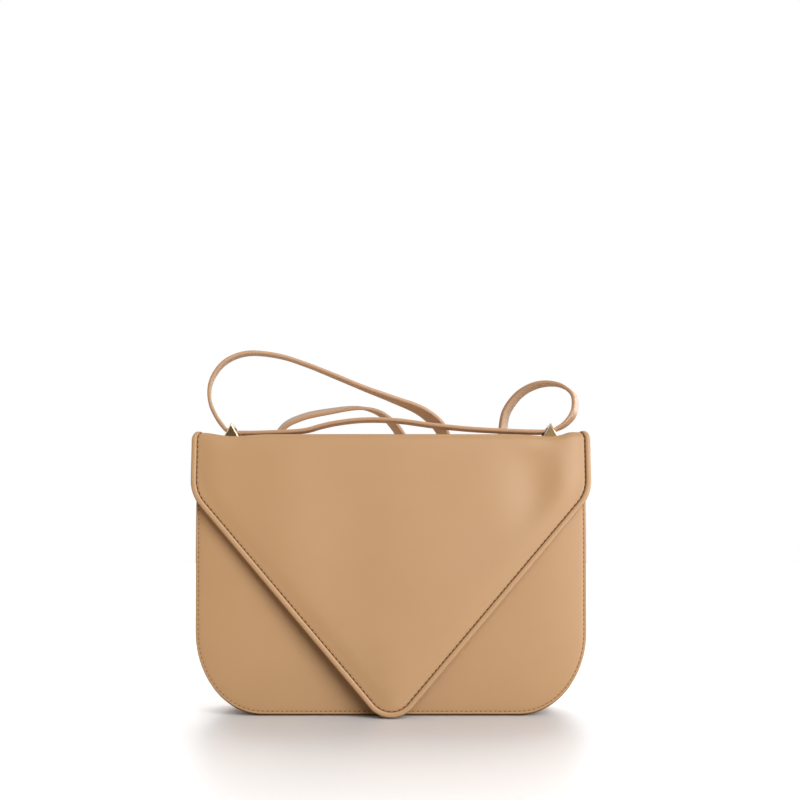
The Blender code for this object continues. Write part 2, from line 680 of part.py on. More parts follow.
def build_magnets(front_board, flap_board, flap_front):
    """One thin magnet in the flap's board near the tip, and one in the front board behind it."""
    metal = (STEEL, 0.35, 1.0)
    v = FLAP_LENGTH - MAGNET_FROM_TIP
    depth = FLAP_LEATHER + GAP + FLAP_BOARD / 2.0
    centre = folded(-1, 0.0, np.array(v), np.array(depth), FLAP_LEAN)
    axis = (0.0, math.cos(FLAP_LEAN), -math.sin(FLAP_LEAN))
    hole = disc_mesh("flap_magnet_hole", centre, axis, MAGNET_RADIUS + GAP, 4.0)
    cut(flap_board, hole)
    piece("flap_magnet", disc_mesh("magnet", centre, axis, MAGNET_RADIUS, MAGNET_THICK), metal, flap_front)

    z = float(centre[2])
    centre = (0.0, wall_y(-1, z, LAYER_TWO + BOARD_THICK / 2.0), z)
    axis = (0.0, math.cos(WALL_LEAN), -math.sin(WALL_LEAN))
    hole = disc_mesh("front_magnet_hole", centre, axis, MAGNET_RADIUS + GAP, 4.0)
    cut(front_board, hole)
    piece("front_magnet", disc_mesh("magnet", centre, axis, MAGNET_RADIUS, MAGNET_THICK), metal)


def build_flap(flap_top, flap_front):
    """The tail on the back, the top strip, and the pointed front with its edge roll."""
    outside = (LEATHER, 0.42, 0.0)
    rolled = (EDGE_LEATHER, 0.45, 0.0)
    inside = (LINING, 0.75, 0.0)
    card = (BOARD, 0.85, 0.0)
    piece("flap_tail", tail_mesh("tail"), outside)

    half = FLAP_WIDTH / 2.0 - ROLL_WIDTH - GAP
    reach = SEAM_Y - SEAM_GAP / 2.0
    layers = [
        ("top_panel", FLAP_TOP, FLAP_LEATHER, outside),
        ("top_board", FLAP_TOP - FLAP_LEATHER - GAP, FLAP_BOARD, card),
        ("top_lining", FLAP_TOP - FLAP_THICK + LINING_THICK, LINING_THICK, inside),
    ]
    for name, top, thick, finish in layers:
        low = (-half, -reach, top - thick)
        layer = piece(name, box_mesh(name, low, (half, reach, top)), finish, flap_top)
        for x in (-RING_X, RING_X):
            for y in (-SCREW_SPREAD, SCREW_SPREAD):
                cut(layer, screw_hole(x, y, top - thick / 2.0, 3.0 * thick))
    for word, side in (("left", -1), ("right", 1)):
        piece(word + "_top_roll", top_roll_mesh("roll", side), rolled, flap_top)

    piece("flap_panel", flap_layer("leather", 0.0, FLAP_LEATHER), outside, flap_front)
    board_depth = FLAP_LEATHER + GAP
    board = piece("flap_board", flap_layer("board", board_depth, FLAP_BOARD), card, flap_front)
    lining_depth = FLAP_THICK - LINING_THICK
    piece("flap_lining", flap_layer("lining", lining_depth, LINING_THICK), inside, flap_front)
    piece("flap_edge_roll", flap_roll_mesh("roll"), rolled, flap_front)
    return board


def screw_hole(x, y, z, depth):
    """A clearance hole for a ring's screw."""
    return disc_mesh("screw_hole", (x, y, z), (0, 0, 1), SCREW_RADIUS + SCREW_PLAY, depth, 12)


def build_rings(flap_top):
    """Two stirrup rings on the top strip, with a plate below it and two screws through each."""
    bronze = (BRONZE, 0.3, 1.0)
    metal = (STEEL, 0.35, 1.0)
    under = FLAP_TOP - FLAP_THICK - GAP
    head_top = under - RING_PLATE_THICK - GAP
    for word, x in (("left", -RING_X), ("right", RING_X)):
        ring = piece(word + "_ring", ring_mesh("ring", x), bronze, flap_top)
        low = (x - RING_HEIGHT, -RING_GAP / 2.0, RING_FOOT + RING_FLOOR)
        high = (x + RING_HEIGHT, RING_GAP / 2.0, RING_FOOT + RING_HEIGHT - RING_CROWN)
        cut(ring, box_mesh(word + "_ring_window", low, high))
        half = (RING_PLATE_LENGTH / 2.0, RING_PLATE_WIDTH / 2.0)
        low = (x - half[0], -half[1], under - RING_PLATE_THICK)
        high = (x + half[0], half[1], under)
        plate = piece(word + "_ring_plate", box_mesh("plate", low, high), metal, flap_top)
        for place, y in (("front", -SCREW_SPREAD), ("rear", SCREW_SPREAD)):
            cut(plate, screw_hole(x, y, under, 4.0))
            profile = [(SCREW_HEAD_RADIUS, head_top - SCREW_HEAD_THICK), (SCREW_HEAD_RADIUS, head_top)]
            profile += [(SCREW_RADIUS, head_top), (SCREW_RADIUS, FLAP_TOP)]
            screw = turned_mesh("screw", x, y, profile, 12)
            piece(word + "_" + place + "_screw", screw, metal, flap_top)


def turned_mesh(name, x, y, profile, sides):
    """A solid of revolution about an upright axis, from radius and height pairs."""
    angle = np.arange(sides) * 2.0 * math.pi / sides
    vertices = []
    for radius, z in profile:
        ring = np.stack([x + radius * np.cos(angle), y + radius * np.sin(angle), np.full(sides, z)], 1)
        vertices.append(ring)
    faces = [tuple(range(sides))[::-1]]
    for level in range(len(profile) - 1):
        for k in range(sides):
            a = level * sides + k
            b = level * sides + (k + 1) % sides
            faces.append((a, b, b + sides, a + sides))
    faces.append(tuple(range((len(profile) - 1) * sides, len(profile) * sides)))
    return closed_mesh(name, np.concatenate(vertices), faces)


def build_strap(prong_axis, keeper_slide):
    """The strap, its buckle with a hinged prong, a fixed keeper and a sliding keeper."""
    tan = (LEATHER, 0.45, 0.0)
    bronze = (BRONZE, 0.3, 1.0)
    strap = piece("strap", strap_mesh("strap"), tan)
    slot = PRONG_WIDTH / 2.0 + PRONG_SLOT_PLAY
    fold_reach = FOLD_RADIUS + SKIVED
    crossing = BUCKLE_X + 2.0 * FOLD_RADIUS
    slot_half = PRONG_SLOT_LENGTH / 2.0
    cut(
        strap,
        box_mesh(
            "fold_slot",
            (BUCKLE_X - fold_reach, BUCKLE_Y - slot, -1.0),
            (BUCKLE_X + fold_reach, BUCKLE_Y + slot, BAR_Z + FOLD_RADIUS + 0.75),
        ),
    )
    cut(
        strap,
        box_mesh(
            "prong_hole",
            (crossing - slot_half, BUCKLE_Y - slot, BAR_Z - FOLD_RADIUS),
            (crossing + slot_half, BUCKLE_Y + slot, BAR_Z + 4.0 * FOLD_RADIUS),
        ),
    )
    spare_z = STACK_FLOOR + 1.5 * STRAP_THICK + GAP
    for x in (SLIDING_KEEPER_X - PUNCH_STEP / 2.0, SLIDING_KEEPER_X + PUNCH_STEP / 2.0):
        spot = (x, BUCKLE_Y, spare_z)
        cut(strap, disc_mesh("spare_hole", spot, (0, 0, 1), PUNCH_RADIUS, STRAP_THICK + 0.2, 12))

    wire = BUCKLE_WIRE / 2.0
    inner = STRAP_WIDTH / 2.0 + BUCKLE_SIDE_PLAY
    far = BUCKLE_X - wire + BUCKLE_LENGTH
    low = (BUCKLE_X - wire, BUCKLE_Y - inner - BUCKLE_WIRE, BAR_Z - wire)
    high = (far, BUCKLE_Y + inner + BUCKLE_WIRE, BAR_Z + wire)
    frame = piece("buckle_frame", box_mesh("frame", low, high), bronze)
    low = (BUCKLE_X + wire, BUCKLE_Y - inner, BAR_Z - 3.0 * wire)
    high = (far - BUCKLE_WIRE, BUCKLE_Y + inner, BAR_Z + 3.0 * wire)
    cut(frame, box_mesh("frame_window", low, high))
    piece("buckle_prong", prong_mesh("prong"), bronze, prong_axis)

    inner = STRAP_WIDTH / 2.0 + KEEPER_SIDE_PLAY
    fixed_stack = SKIVED + 2.0 * STRAP_THICK + 4.0 * GAP
    sliding_stack = 2.0 * STRAP_THICK + 3.0 * GAP
    keepers = [
        ("fixed_keeper", FIXED_KEEPER_X, FIXED_KEEPER_LENGTH, fixed_stack, None),
        ("sliding_keeper", SLIDING_KEEPER_X, SLIDING_KEEPER_LENGTH, sliding_stack, keeper_slide),
    ]
    for name, x, length, stack, parent in keepers:
        low = (x - length / 2.0, BUCKLE_Y - inner - KEEPER_THICK, KEEPER_LIFT)
        high = (x + length / 2.0, BUCKLE_Y + inner + KEEPER_THICK, KEEPER_LIFT + 2.0 * KEEPER_THICK + stack)
        loop = piece(name, box_mesh(name, low, high), tan, parent)
        low = (x - length, BUCKLE_Y - inner, KEEPER_LIFT + KEEPER_THICK)
        high = (x + length, BUCKLE_Y + inner, KEEPER_LIFT + KEEPER_THICK + stack)
        cut(loop, box_mesh(name + "_window", low, high))


def shade_round_pieces():
    """Rounded pieces are shaded smooth, with their hard edges kept."""
    for made in bpy.data.objects:
        if made.type == "MESH" and not made.hide_render:
            made.data.shade_smooth()
            made.data.set_sharp_from_angle(angle=math.radians(35.0))


def main():
    clear_scene()
    flap_top = axis_empty("top_lift_axis", 0.0, SEAM_Y, FLAP_TOP)
    flap_front = axis_empty("front_fold_axis", 0.0, -SEAM_Y, FLAP_TOP, flap_top)
    prong_axis = axis_empty("prong_axis", BUCKLE_X, BUCKLE_Y, BAR_Z)
    keeper_slide = axis_empty("keeper_slide", SLIDING_KEEPER_X, BUCKLE_Y, STACK_FLOOR)
    front_board = build_body()
    flap_board = build_flap(flap_top, flap_front)
    build_magnets(front_board, flap_board, flap_front)
    build_rings(flap_top)
    build_strap(prong_axis, keeper_slide)
    shade_round_pieces()


main()
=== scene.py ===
"""Looks of an envelope shoulder bag: leather, suede, stitching, strap, rings and buckle.

Frame: +Z up, the front faces -Y, the origin is the centre of the base on the floor.
Lengths are worked out in millimetres, and the meshes are made in metres.
"""

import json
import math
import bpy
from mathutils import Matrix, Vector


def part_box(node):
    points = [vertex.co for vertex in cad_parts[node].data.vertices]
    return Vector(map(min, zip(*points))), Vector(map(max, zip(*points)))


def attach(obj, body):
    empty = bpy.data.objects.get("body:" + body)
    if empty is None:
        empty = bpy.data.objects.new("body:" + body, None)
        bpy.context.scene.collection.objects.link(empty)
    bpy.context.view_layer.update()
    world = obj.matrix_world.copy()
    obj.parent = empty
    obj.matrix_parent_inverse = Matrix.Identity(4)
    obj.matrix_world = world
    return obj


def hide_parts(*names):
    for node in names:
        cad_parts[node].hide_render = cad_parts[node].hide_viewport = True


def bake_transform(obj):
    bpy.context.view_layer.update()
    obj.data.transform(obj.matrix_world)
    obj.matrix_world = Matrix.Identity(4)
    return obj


bl_info = {
    "name": "Envelope bag",
    "version": (1, 0, 0),
    "blender": (4, 5, 0),
    "location": "3D View > Sidebar > Bag",
    "description": "Makes the leather, stitching and fittings of an envelope shoulder bag",
    "category": "Add Mesh",
}

import bmesh
import bpy
import numpy as np
from bpy.props import FloatProperty, FloatVectorProperty, PointerProperty
from mathutils import Vector

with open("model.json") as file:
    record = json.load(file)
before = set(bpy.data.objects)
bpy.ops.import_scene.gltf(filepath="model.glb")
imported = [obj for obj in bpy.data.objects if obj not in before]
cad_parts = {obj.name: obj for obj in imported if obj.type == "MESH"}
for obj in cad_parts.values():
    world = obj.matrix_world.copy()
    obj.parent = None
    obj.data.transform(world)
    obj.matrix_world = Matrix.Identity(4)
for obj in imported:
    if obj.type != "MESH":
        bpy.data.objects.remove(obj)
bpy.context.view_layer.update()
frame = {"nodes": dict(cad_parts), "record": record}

MM = 0.001
WELD = 0.000002
SHARP_ANGLE = math.radians(42.0)


def span(node):
    """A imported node's lowest and highest corners, in millimetres."""
    low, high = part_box(node)
    return np.array(low) / MM, np.array(high) / MM


def joint_place(name):
    """Where a joint's axis lies, in millimetres."""
    joints = frame["record"]["behaviour"]["joints"]
    return np.array(next(j["pos_m"] for j in joints if j["name"] == name)) / MM


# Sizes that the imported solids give
WALL_LOW, WALL_HIGH = span("front_panel")
BODY_WIDTH = WALL_HIGH[0] - WALL_LOW[0]
PANEL_FOOT = WALL_LOW[2]
PANEL_TOP = WALL_HIGH[2]
ROLL_LOW, ROLL_HIGH = span("flap_edge_roll")
FLAP_WIDTH = ROLL_HIGH[0] - ROLL_LOW[0]
SEAM_Y, FLAP_TOP = joint_place("top_lift")[1:]
RING_LOW, RING_HIGH = span("right_ring")
RING_X = (RING_LOW[0] + RING_HIGH[0]) / 2.0
BUCKLE_X, BUCKLE_Y, BAR_Z = joint_place("prong_swing")
FRAME_LOW, FRAME_HIGH = span("buckle_frame")
GUSSET_TOP = span("gusset")[1][2]

# Sizes shared with the solids' own source
GAP = 0.3
BASE_DEPTH = 56.0
TOP_DEPTH = 25.0
PANEL_THICK = 1.6
GUSSET_THICK = 1.2
FLANGE_WIDTH = 7.0
LINING_THICK = 0.6
FACING_THICK = 1.0
FACING_HEIGHT = 25.0
BASE_BOARD_THICK = 1.5
POCKET_WIDTH = 150.0
POCKET_HEIGHT = 80.0
POCKET_FOOT = 45.0
POCKET_THICK = 0.8
FLAP_LEAN = math.radians(8.0)
EDGE_ANGLE = math.radians(49.6)
FLAP_CORNER_RADIUS = 27.0
TIP_RADIUS = 18.0
TIP_HEIGHT = 0.8
BEND_RADIUS = 5.0
FLAP_LEATHER = 1.4
FLAP_BOARD = 0.8
FLAP_THICK = 3.4
ROLL_WIDTH = 3.7
TAIL_LENGTH = 32.0
TAIL_EDGE = 1.6
RING_WALL = 1.7
RING_FLOOR = 0.9
RING_CROWN = 2.3
STRAP_WIDTH = 14.0
STRAP_THICK = 2.4
SKIVED = 1.2
BUCKLE_WIRE = 2.2
PRONG_WIDTH = 2.6
PRONG_THICK = 1.2
PRONG_OVERHANG = 1.0
KEEPER_THICK = 1.1
KEEPER_LIFT = 0.1
SLIDING_KEEPER_X = -40.0
STRAP_TIP_X = -62.0
PUNCH_RADIUS = 1.3
PUNCH_STEP = 17.0
PRONG_SLOT_LENGTH = 8.8
PRONG_SLOT_PLAY = 0.4

# Sizes set a little off the solids or added to them: softer corners, the flap drawn in on its top,
# room for the prong's swing and the keeper's slide, and chamfered rings down to the dipped leather
CORNER_WIDTH = 44.0
CORNER_HEIGHT = 52.5
TOP_DRAWN_IN = 2.5
RETURN_END_X = -25.8
PRONG_SWING_ROOM = 5.2
KEEPER_ROOM = 0.5
RING_FOOT_DROP = 0.75
RING_CHAMFER = 0.85
RING_APEX = 0.22

# Worked out from the sizes above
REAR_Y = TOP_DEPTH / 2.0
WALL_LEAN = math.atan2((BASE_DEPTH - TOP_DEPTH) / 2.0, PANEL_TOP)
FLAP_BEND = BEND_RADIUS * (math.pi / 2.0 - FLAP_LEAN)
BACK_BEND = BEND_RADIUS * (math.pi / 2.0 - WALL_LEAN)
BEND_DROP = BEND_RADIUS * (1.0 - math.sin(FLAP_LEAN))
FLAP_LENGTH = FLAP_BEND + (FLAP_TOP - BEND_DROP - TIP_HEIGHT) / math.cos(FLAP_LEAN)
LAYER_TWO = PANEL_THICK + GAP
LAYER_THREE = LAYER_TWO + GUSSET_THICK + GAP
LAYER_FOUR = LAYER_THREE + FACING_THICK + GAP
FACING_FOOT = PANEL_TOP - 0.5 - FACING_HEIGHT
STACK_FLOOR = KEEPER_LIFT + KEEPER_THICK + GAP
BAR_REACH = BUCKLE_WIRE / math.sqrt(2.0) + GAP
FOLD_RADIUS = BAR_REACH + SKIVED / 2.0


def length(label, note, value):
    """A length that a user can change, in metres."""
    return FloatProperty(name=label, description=note, default=value, unit="LENGTH")


def level(label, note, value):
    """A level of the light that a user can change."""
    return FloatProperty(name=label, description=note, default=value)


def colour(label, note, value):
    """A colour that a user can change."""
    look = {"subtype": "COLOR", "min": 0.0, "max": 1.0}
    return FloatVectorProperty(name=label, description=note, default=value, **look)


class BagSizes(bpy.types.PropertyGroup):
    """Sizes of the leather's own form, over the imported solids."""

    wall_crown: length("Wall crown", "How far the walls swell outwards", 0.0012)
    flap_pad: length("Flap padding", "How far the flap swells inside its roll", 0.0012)
    flap_wave: length("Flap wave", "Height of the slow waves in the flap", 0.0008)
    corner_rise: length("Corner rise", "How far the flap's top corners stand up", 0.0016)
    ring_dip: length("Ring dip", "How far the rings pull the flap's top down", 0.00135)
    roll_proud: length("Roll height", "How far the edge roll stands proud", 0.0008)
    gusset_bow: length("Gusset bow", "How far the sides fold inwards", 0.0025)
    thread: length("Thread radius", "Half the thickness of the thread", 0.00028)
    wall_pitch: length("Wall stitch", "Pitch of the stitches round the walls", 0.0031)
    flap_pitch: length("Flap stitch", "Pitch of the stitches round the flap", 0.0034)


class BagColours(bpy.types.PropertyGroup):
    """Colours of the finishes, linear."""

    calf: colour("Calf", "Smooth leather of walls and flap", (0.528, 0.320, 0.163))
    roll: colour("Edge roll", "Rolled leather edge of the flap", (0.535, 0.330, 0.172))
    strap: colour("Strap", "Outer face of the strap", (0.545, 0.340, 0.205))
    # Paler inner face: the strap's lining side, made paler still as painted highlight for light on its
    # faces
    strap_back_and_painted_highlight: colour("Strap back", "Inner face of the strap", (0.620, 0.460, 0.340))
    suede: colour("Suede", "Linings", (0.400, 0.255, 0.140))
    thread: colour("Thread", "Stitching", (0.520, 0.300, 0.140))
    # Needle holes: the shade inside the holes, painted as dark beads on the surface
    hole: colour("Needle hole", "Shadowed needle holes", (0.110, 0.045, 0.015))
    board: colour("Board", "Bonded boards", (0.520, 0.450, 0.360))
    # Bronze and polished bronze split each ring: dark on its front and inner walls, bright on its chamfers
    # and sides; partly wear, partly painted shade on the fronts and painted highlight on the bevels. The
    # buckle is all polished
    bronze: colour("Bronze", "Faces of rings and buckle", (0.300, 0.205, 0.105))
    polished: colour("Polished bronze", "Chamfers of rings and buckle", (0.930, 0.780, 0.540))
    nickel: colour("Nickel", "Plates, screws and magnets", (0.560, 0.560, 0.570))


class BagStudio(bpy.types.PropertyGroup):
    """Levels of the studio light."""

    key: level("Key light", "Strength of the softbox at the front right", 2.3)
    back: level("Back light", "Level of the light from behind", 2.4)
    side: level("Side light", "Power of the panel on the right, in watts", 1.1)
    ambient: level("Ambient", "Level of the light from all round", 0.34)
    ground: level("Floor light", "Strength of the light on the floor alone", 1.6)
    floor: level("Floor", "How white the floor looks", 0.62)


def size(name):
    """One of the bag's adjustable sizes, in millimetres."""
    return getattr(bpy.context.scene.bag_sizes, name) / MM


def colours():
    """The bag's adjustable colours."""
    return bpy.context.scene.bag_colours


class Value:
    """A number in a node tree. Arithmetic on it adds Math nodes."""

    def __init__(self, tree, socket):
        self.tree = tree
        self.socket = socket

    def math(self, operation, *terms):
        """A Math node on this value and others."""
        node = self.tree.add("Math", {"operation": operation}, dict(enumerate(terms)))
        return Value(self.tree, node.outputs[0])

    def __add__(self, other):
        return self.math("ADD", self, other)

    __radd__ = __add__

    def __sub__(self, other):
        return self.math("SUBTRACT", self, other)

    def __rsub__(self, other):
        return self.math("SUBTRACT", other, self)

    def __mul__(self, other):
        return self.math("MULTIPLY", self, other)

    __rmul__ = __mul__

    def most(self, other):
        """The larger of two values."""
        return self.math("MAXIMUM", self, other)

    def held(self):
        """The value kept from 0 to 1."""
        return self.math("MINIMUM", self.math("MAXIMUM", self, 0.0), 1.0)


class Tree:
    """The node tree of a material or a world, while it is being built."""

    def __init__(self, owner):
        owner.use_nodes = True
        self.owner = owner
        self.tree = owner.node_tree
        self.tree.nodes.clear()

    def add(self, kind, settings=None, sockets=None):
        """Adds a shader node: its settings first, then the value or link of each socket."""
        node = self.tree.nodes.new("ShaderNode" + kind)
        for key, value in (settings or {}).items():
            setattr(node, key, value)
        for key, value in (sockets or {}).items():
            if isinstance(key, int):
                socket = node.inputs[key]
            else:
                socket = next(s for s in node.inputs if s.name == key and s.enabled)
            value = value.socket if isinstance(value, Value) else value
            if isinstance(value, bpy.types.NodeSocket):
                self.tree.links.new(value, socket)
            else:
                socket.default_value = value
        return node

    def place(self):
        """Object coordinates, in metres."""
        return self.add("TexCoord").outputs["Object"]

    def mask(self, name):
        """A point attribute of the mesh, 0 where the mesh has none."""
        node = self.add("Attribute", {"attribute_name": name})
        return Value(self, node.outputs["Fac"])

    def noise(self, place, scale, detail=2.0, roughness=0.5):
        """Soft noise from 0 to 1, with about `scale` features in a metre."""
        sockets = {"Vector": place, "Scale": scale, "Detail": detail, "Roughness": roughness}
        return Value(self, self.add("TexNoise", None, sockets).outputs[0])

    def cells(self, place, scale):
        """Distance to the nearest of scattered points, 0 at the point."""
        node = self.add("TexVoronoi", {"feature": "SMOOTH_F1"}, {"Vector": place, "Scale": scale})
        return Value(self, node.outputs["Distance"])

    def mix(self, share, first, second):
        """One colour turning into another."""
        sockets = {"Factor": share, "A": opaque(first), "B": opaque(second)}
        return self.add("Mix", {"data_type": "RGBA"}, sockets).outputs[2]

    def bump(self, height, strength, distance):
        """A normal that follows a height, with its distance in metres."""
        sockets = {"Strength": strength, "Distance": distance, "Height": height}
        return self.add("Bump", None, sockets).outputs[0]

    def surface(self, sockets):
        """The Principled shader as the tree's output. Gives the finished material."""
        shader = self.add("BsdfPrincipled", None, sockets)
        self.add("OutputMaterial", None, {"Surface": shader.outputs[0]})
        return self.owner


def opaque(value):
    """A colour of three numbers with its fourth, or a socket as it is."""
    if isinstance(value, (Value, bpy.types.NodeSocket)):
        return value
    return (*tuple(value)[:3], 1.0)


def shaded(value, level):
    """A colour made lighter or darker."""
    return tuple(min(1.0, c * level) for c in value)


def new_finish(name):
    """The empty tree of a new material."""
    return Tree(bpy.data.materials.new(name))


def calf(name, base, roughness=0.43):
    """Smooth satin calf: slow drift of tone, fine pores, dark edge paint, and painted shade in stitch
    grooves, creases and under the bag's foot.
    """
    tree = new_finish(name)
    place = tree.place()
    drift = tree.noise(place, 16.0, 2.0)
    cloud = tree.noise(place, 70.0, 3.0)
    pores = tree.cells(place, 1500.0)
    wrinkle = tree.noise(place, 420.0, 5.0, 0.6)
    edge_paint_and_painted_shade = tree.mask("shade")
    tone = tree.mix(drift * 0.6 + cloud * 0.4, shaded(base, 0.955), shaded(base, 1.045))
    # Dark brown where the shade mask is set: edge paint on rims, and painted shade in grooves, creases and
    # under the foot
    tone = tree.mix(edge_paint_and_painted_shade.held(), tone, (0.175, 0.082, 0.030))
    height = pores * 0.55 + wrinkle * 0.45
    return tree.surface({
        "Base Color": tone,
        "Roughness": roughness - 0.05 + cloud * 0.07 + wrinkle * 0.03,
        "Specular IOR Level": 0.42,
        "Coat Weight": 0.07,
        "Coat Roughness": 0.30,
        "Normal": tree.bump(height, 0.10, 0.00012),
    })


def strap_calf(name):
    """Strap leather: the outer face as the bag's, a paler inner face that is partly its lining and partly
    painted highlight, and painted edges.
    """
    tree = new_finish(name)
    place = tree.place()
    cloud = tree.noise(place, 60.0, 3.0)
    wrinkle = tree.noise(place, 700.0, 4.0, 0.6)
    pores = tree.cells(place, 1500.0)
    inner = tree.mask("inner")
    shade = tree.mask("shade")
    face = tree.mix(cloud, shaded(colours().strap, 0.95), shaded(colours().strap, 1.05))
    # The paler inner face: partly the lining's tone, partly painted highlight
    back = tree.mix(cloud, shaded(colours().strap_back_and_painted_highlight, 0.95), shaded(colours().strap_back_and_painted_highlight, 1.05))
    tone = tree.mix(inner.held(), face, back)
    tone = tree.mix(shade.held(), tone, (0.340, 0.180, 0.085))
    return tree.surface({
        "Base Color": tone,
        "Roughness": inner * 0.18 + cloud * 0.06 + 0.40,
        "Specular IOR Level": 0.4,
        "Coat Weight": 0.05,
        "Coat Roughness": 0.3,
        "Normal": tree.bump(pores * 0.5 + wrinkle * 0.5, 0.02, 0.00012),
    })


def suede(name, base):
    """Lining suede: short nap with brushed patches."""
    tree = new_finish(name)
    place = tree.place()
    brushed = tree.noise(place, 45.0, 4.0, 0.6)
    nap = tree.noise(place, 2600.0, 3.0, 0.7)
    return tree.surface({
        "Base Color": tree.mix(brushed * 0.7 + nap * 0.3, shaded(base, 0.82), shaded(base, 1.18)),
        "Roughness": 0.92,
        "Sheen Weight": 0.35,
        "Sheen Roughness": 0.45,
        "Normal": tree.bump(nap, 0.5, 0.0002),
    })


def thread_finish(name, base):
    """Waxed thread."""
    tree = new_finish(name)
    place = tree.place()
    twist = tree.noise(place, 3200.0, 2.0)
    return tree.surface({
        "Base Color": tree.mix(twist, shaded(base, 0.75), shaded(base, 1.25)),
        "Roughness": 0.55 + twist * 0.1,
        "Normal": tree.bump(twist, 0.4, 0.0001),
    })


def metal(name, base, roughness, worn=0.08):
    """Satin metal: fine grinding lines, handling marks and slightly uneven polish."""
    tree = new_finish(name)
    place = tree.place()
    handled = tree.noise(place, 160.0, 4.0, 0.65)
    ground = tree.noise(place, 5200.0, 2.0)
    return tree.surface({
        "Base Color": tree.mix(handled, shaded(base, 1.0 - worn), shaded(base, 1.0 + worn)),
        "Metallic": 1.0,
        "Roughness": roughness - 0.05 + handled * 0.10,
        "Normal": tree.bump(ground, 0.06, 0.00005),
    })


def board_finish(name, base):
    """Bonded board: pressed fibres in a dull grey-tan."""
    tree = new_finish(name)
    place = tree.place()
    fibre = tree.noise(place, 900.0, 5.0, 0.7)
    return tree.surface({
        "Base Color": tree.mix(fibre, shaded(base, 0.78), shaded(base, 1.15)),
        "Roughness": 0.88,
        "Normal": tree.bump(fibre, 0.3, 0.0002),
    })


FINISHES = {}


def finish(name):
    """One finish of the bag, made when it is first asked for."""
    if name not in FINISHES:
        c = colours()
        maker, *values = {
            "calf": (calf, "calf", c.calf),
            "roll": (calf, "roll_calf", c.roll, 0.40),
            "strap": (strap_calf, "strap_calf"),
            "suede": (suede, "suede", c.suede),
            "thread": (thread_finish, "thread", c.thread),
            # Needle holes: dark beads whose colour paints the shade in the holes
            "hole": (thread_finish, "needle_hole", c.hole),
            "bronze": (metal, "bronze", c.bronze, 0.34),
            "polished": (metal, "polished_bronze", c.polished, 0.16, 0.04),
            "nickel": (metal, "nickel", c.nickel, 0.32),
            "board": (board_finish, "board", c.board),
        }[name]
        FINISHES[name] = maker(*values)
    return FINISHES[name]


def settle(item, **settings):
    """Sets several settings of a data block, a modifier or an object."""
    for key, value in settings.items():
        setattr(item, key, value)
    return item


def smooth(t):
    """0 before 0, 1 after 1, with level ends."""
    t = np.clip(t, 0.0, 1.0)
    return t * t * (3.0 - 2.0 * t)


def unit(vectors):
    """Vectors of length 1."""
    return vectors / np.linalg.norm(vectors, axis=-1, keepdims=True)


def grid_faces(rows, columns, wrap=False):
    """The four-sided faces between neighbouring rows and columns of points, as a list."""
    number = np.arange(rows * columns).reshape(rows, columns)
    if wrap:
        number = np.concatenate([number, number[:, :1]], 1)
    corners = [number[:-1, :-1], number[:-1, 1:], number[1:, 1:], number[1:, :-1]]
    return np.stack(corners, -1).reshape(-1, 4).tolist()


def make_mesh(name, points, faces, weld=0.0, masks=None, kinds=None):
    """A mesh from points in millimetres, with its faces turned outwards and close points welded."""
    mesh = bpy.data.meshes.new(name)
    mesh.from_pydata((np.asarray(points).reshape(-1, 3) * MM).tolist(), [], faces)
    for key, values in (masks or {}).items():
        layer = mesh.attributes.new(key, "FLOAT", "POINT")
        layer.data.foreach_set("value", np.asarray(values, np.float32).ravel())
    if kinds is not None:
        mesh.polygons.foreach_set("material_index", kinds)
    shape = bmesh.new()
    shape.from_mesh(mesh)
    if weld > 0.0:
        bmesh.ops.remove_doubles(shape, verts=shape.verts, dist=weld)
    bmesh.ops.recalc_face_normals(shape, faces=shape.faces)
    shape.to_mesh(mesh)
    shape.free()
    return mesh


def add_object(name, mesh):
    """An object in the current collection."""
    made = bpy.data.objects.new(name, mesh)
    bpy.context.collection.objects.link(made)
    return made


def make_piece(name, points, faces, looks, masks=None, kinds=None):
    """One named piece with its looks, shaded smooth up to a sharp angle."""
    mesh = make_mesh(name, points, faces, WELD, masks, kinds)
    mesh.shade_smooth()
    mesh.set_sharp_from_angle(angle=SHARP_ANGLE)
    looks = [looks] if isinstance(looks, str) else looks
    for look in looks:
        mesh.materials.append(finish(look))
    made = add_object(name, mesh)
    return made


def tube_faces(rows, columns):
    """The faces of an open tube of closed sections, with a flat face on each end."""
    ends = [list(range(columns)), list(range((rows - 1) * columns, rows * columns))]
    return grid_faces(rows, columns, wrap=True) + ends


def tube_piece(name, points, looks, masks=None):
    """An open tube from rows of closed sections."""
    return make_piece(name, points, tube_faces(*points.shape[:2]), looks, masks)


def mirrored(left):
    """A line's left half, down to the middle, and the same mirrored back up on the right."""
    return np.concatenate([left, left[-2::-1] * np.array([-1.0, 1.0])])


def u_outline(half, top, foot, corner_x, corner_z, inset, steps):
    """A U from its top left, down, round the foot and up to its top right.

    The corners are quarters of ellipses, and an inset shortens their two half axes alike. The
    second coordinate falls or rises from top to foot. The steps are the points of a side, of a
    corner and of half the base.
    """
    sides, turns, base = steps
    sign = 1.0 if foot < top else -1.0
    bend = foot + sign * corner_z
    angle = np.linspace(0.0, math.pi / 2.0, turns, endpoint=False)
    x = np.concatenate([
        np.full(sides, half - inset),
        half - corner_x + (corner_x - inset) * np.cos(angle),
        np.linspace(half - corner_x, 0.0, base + 1),
    ])
    z = np.concatenate([
        np.linspace(top, bend, sides, endpoint=False),
        bend - sign * (corner_z - inset) * np.sin(angle),
        np.full(base + 1, foot + sign * inset),
    ])
    return mirrored(np.stack([-x, z], 1))


def spine_of(outline, sides, hub):
    """A line up the middle that a U's rows close in on, level with the U's straight sides."""
    half = len(outline) // 2 + 1
    level = outline[:half, 1].copy()
    level[sides:] = np.linspace(level[sides], hub, half - sides)
    level = np.concatenate([level, level[-2::-1]])
    return np.stack([np.zeros_like(level), level], 1)


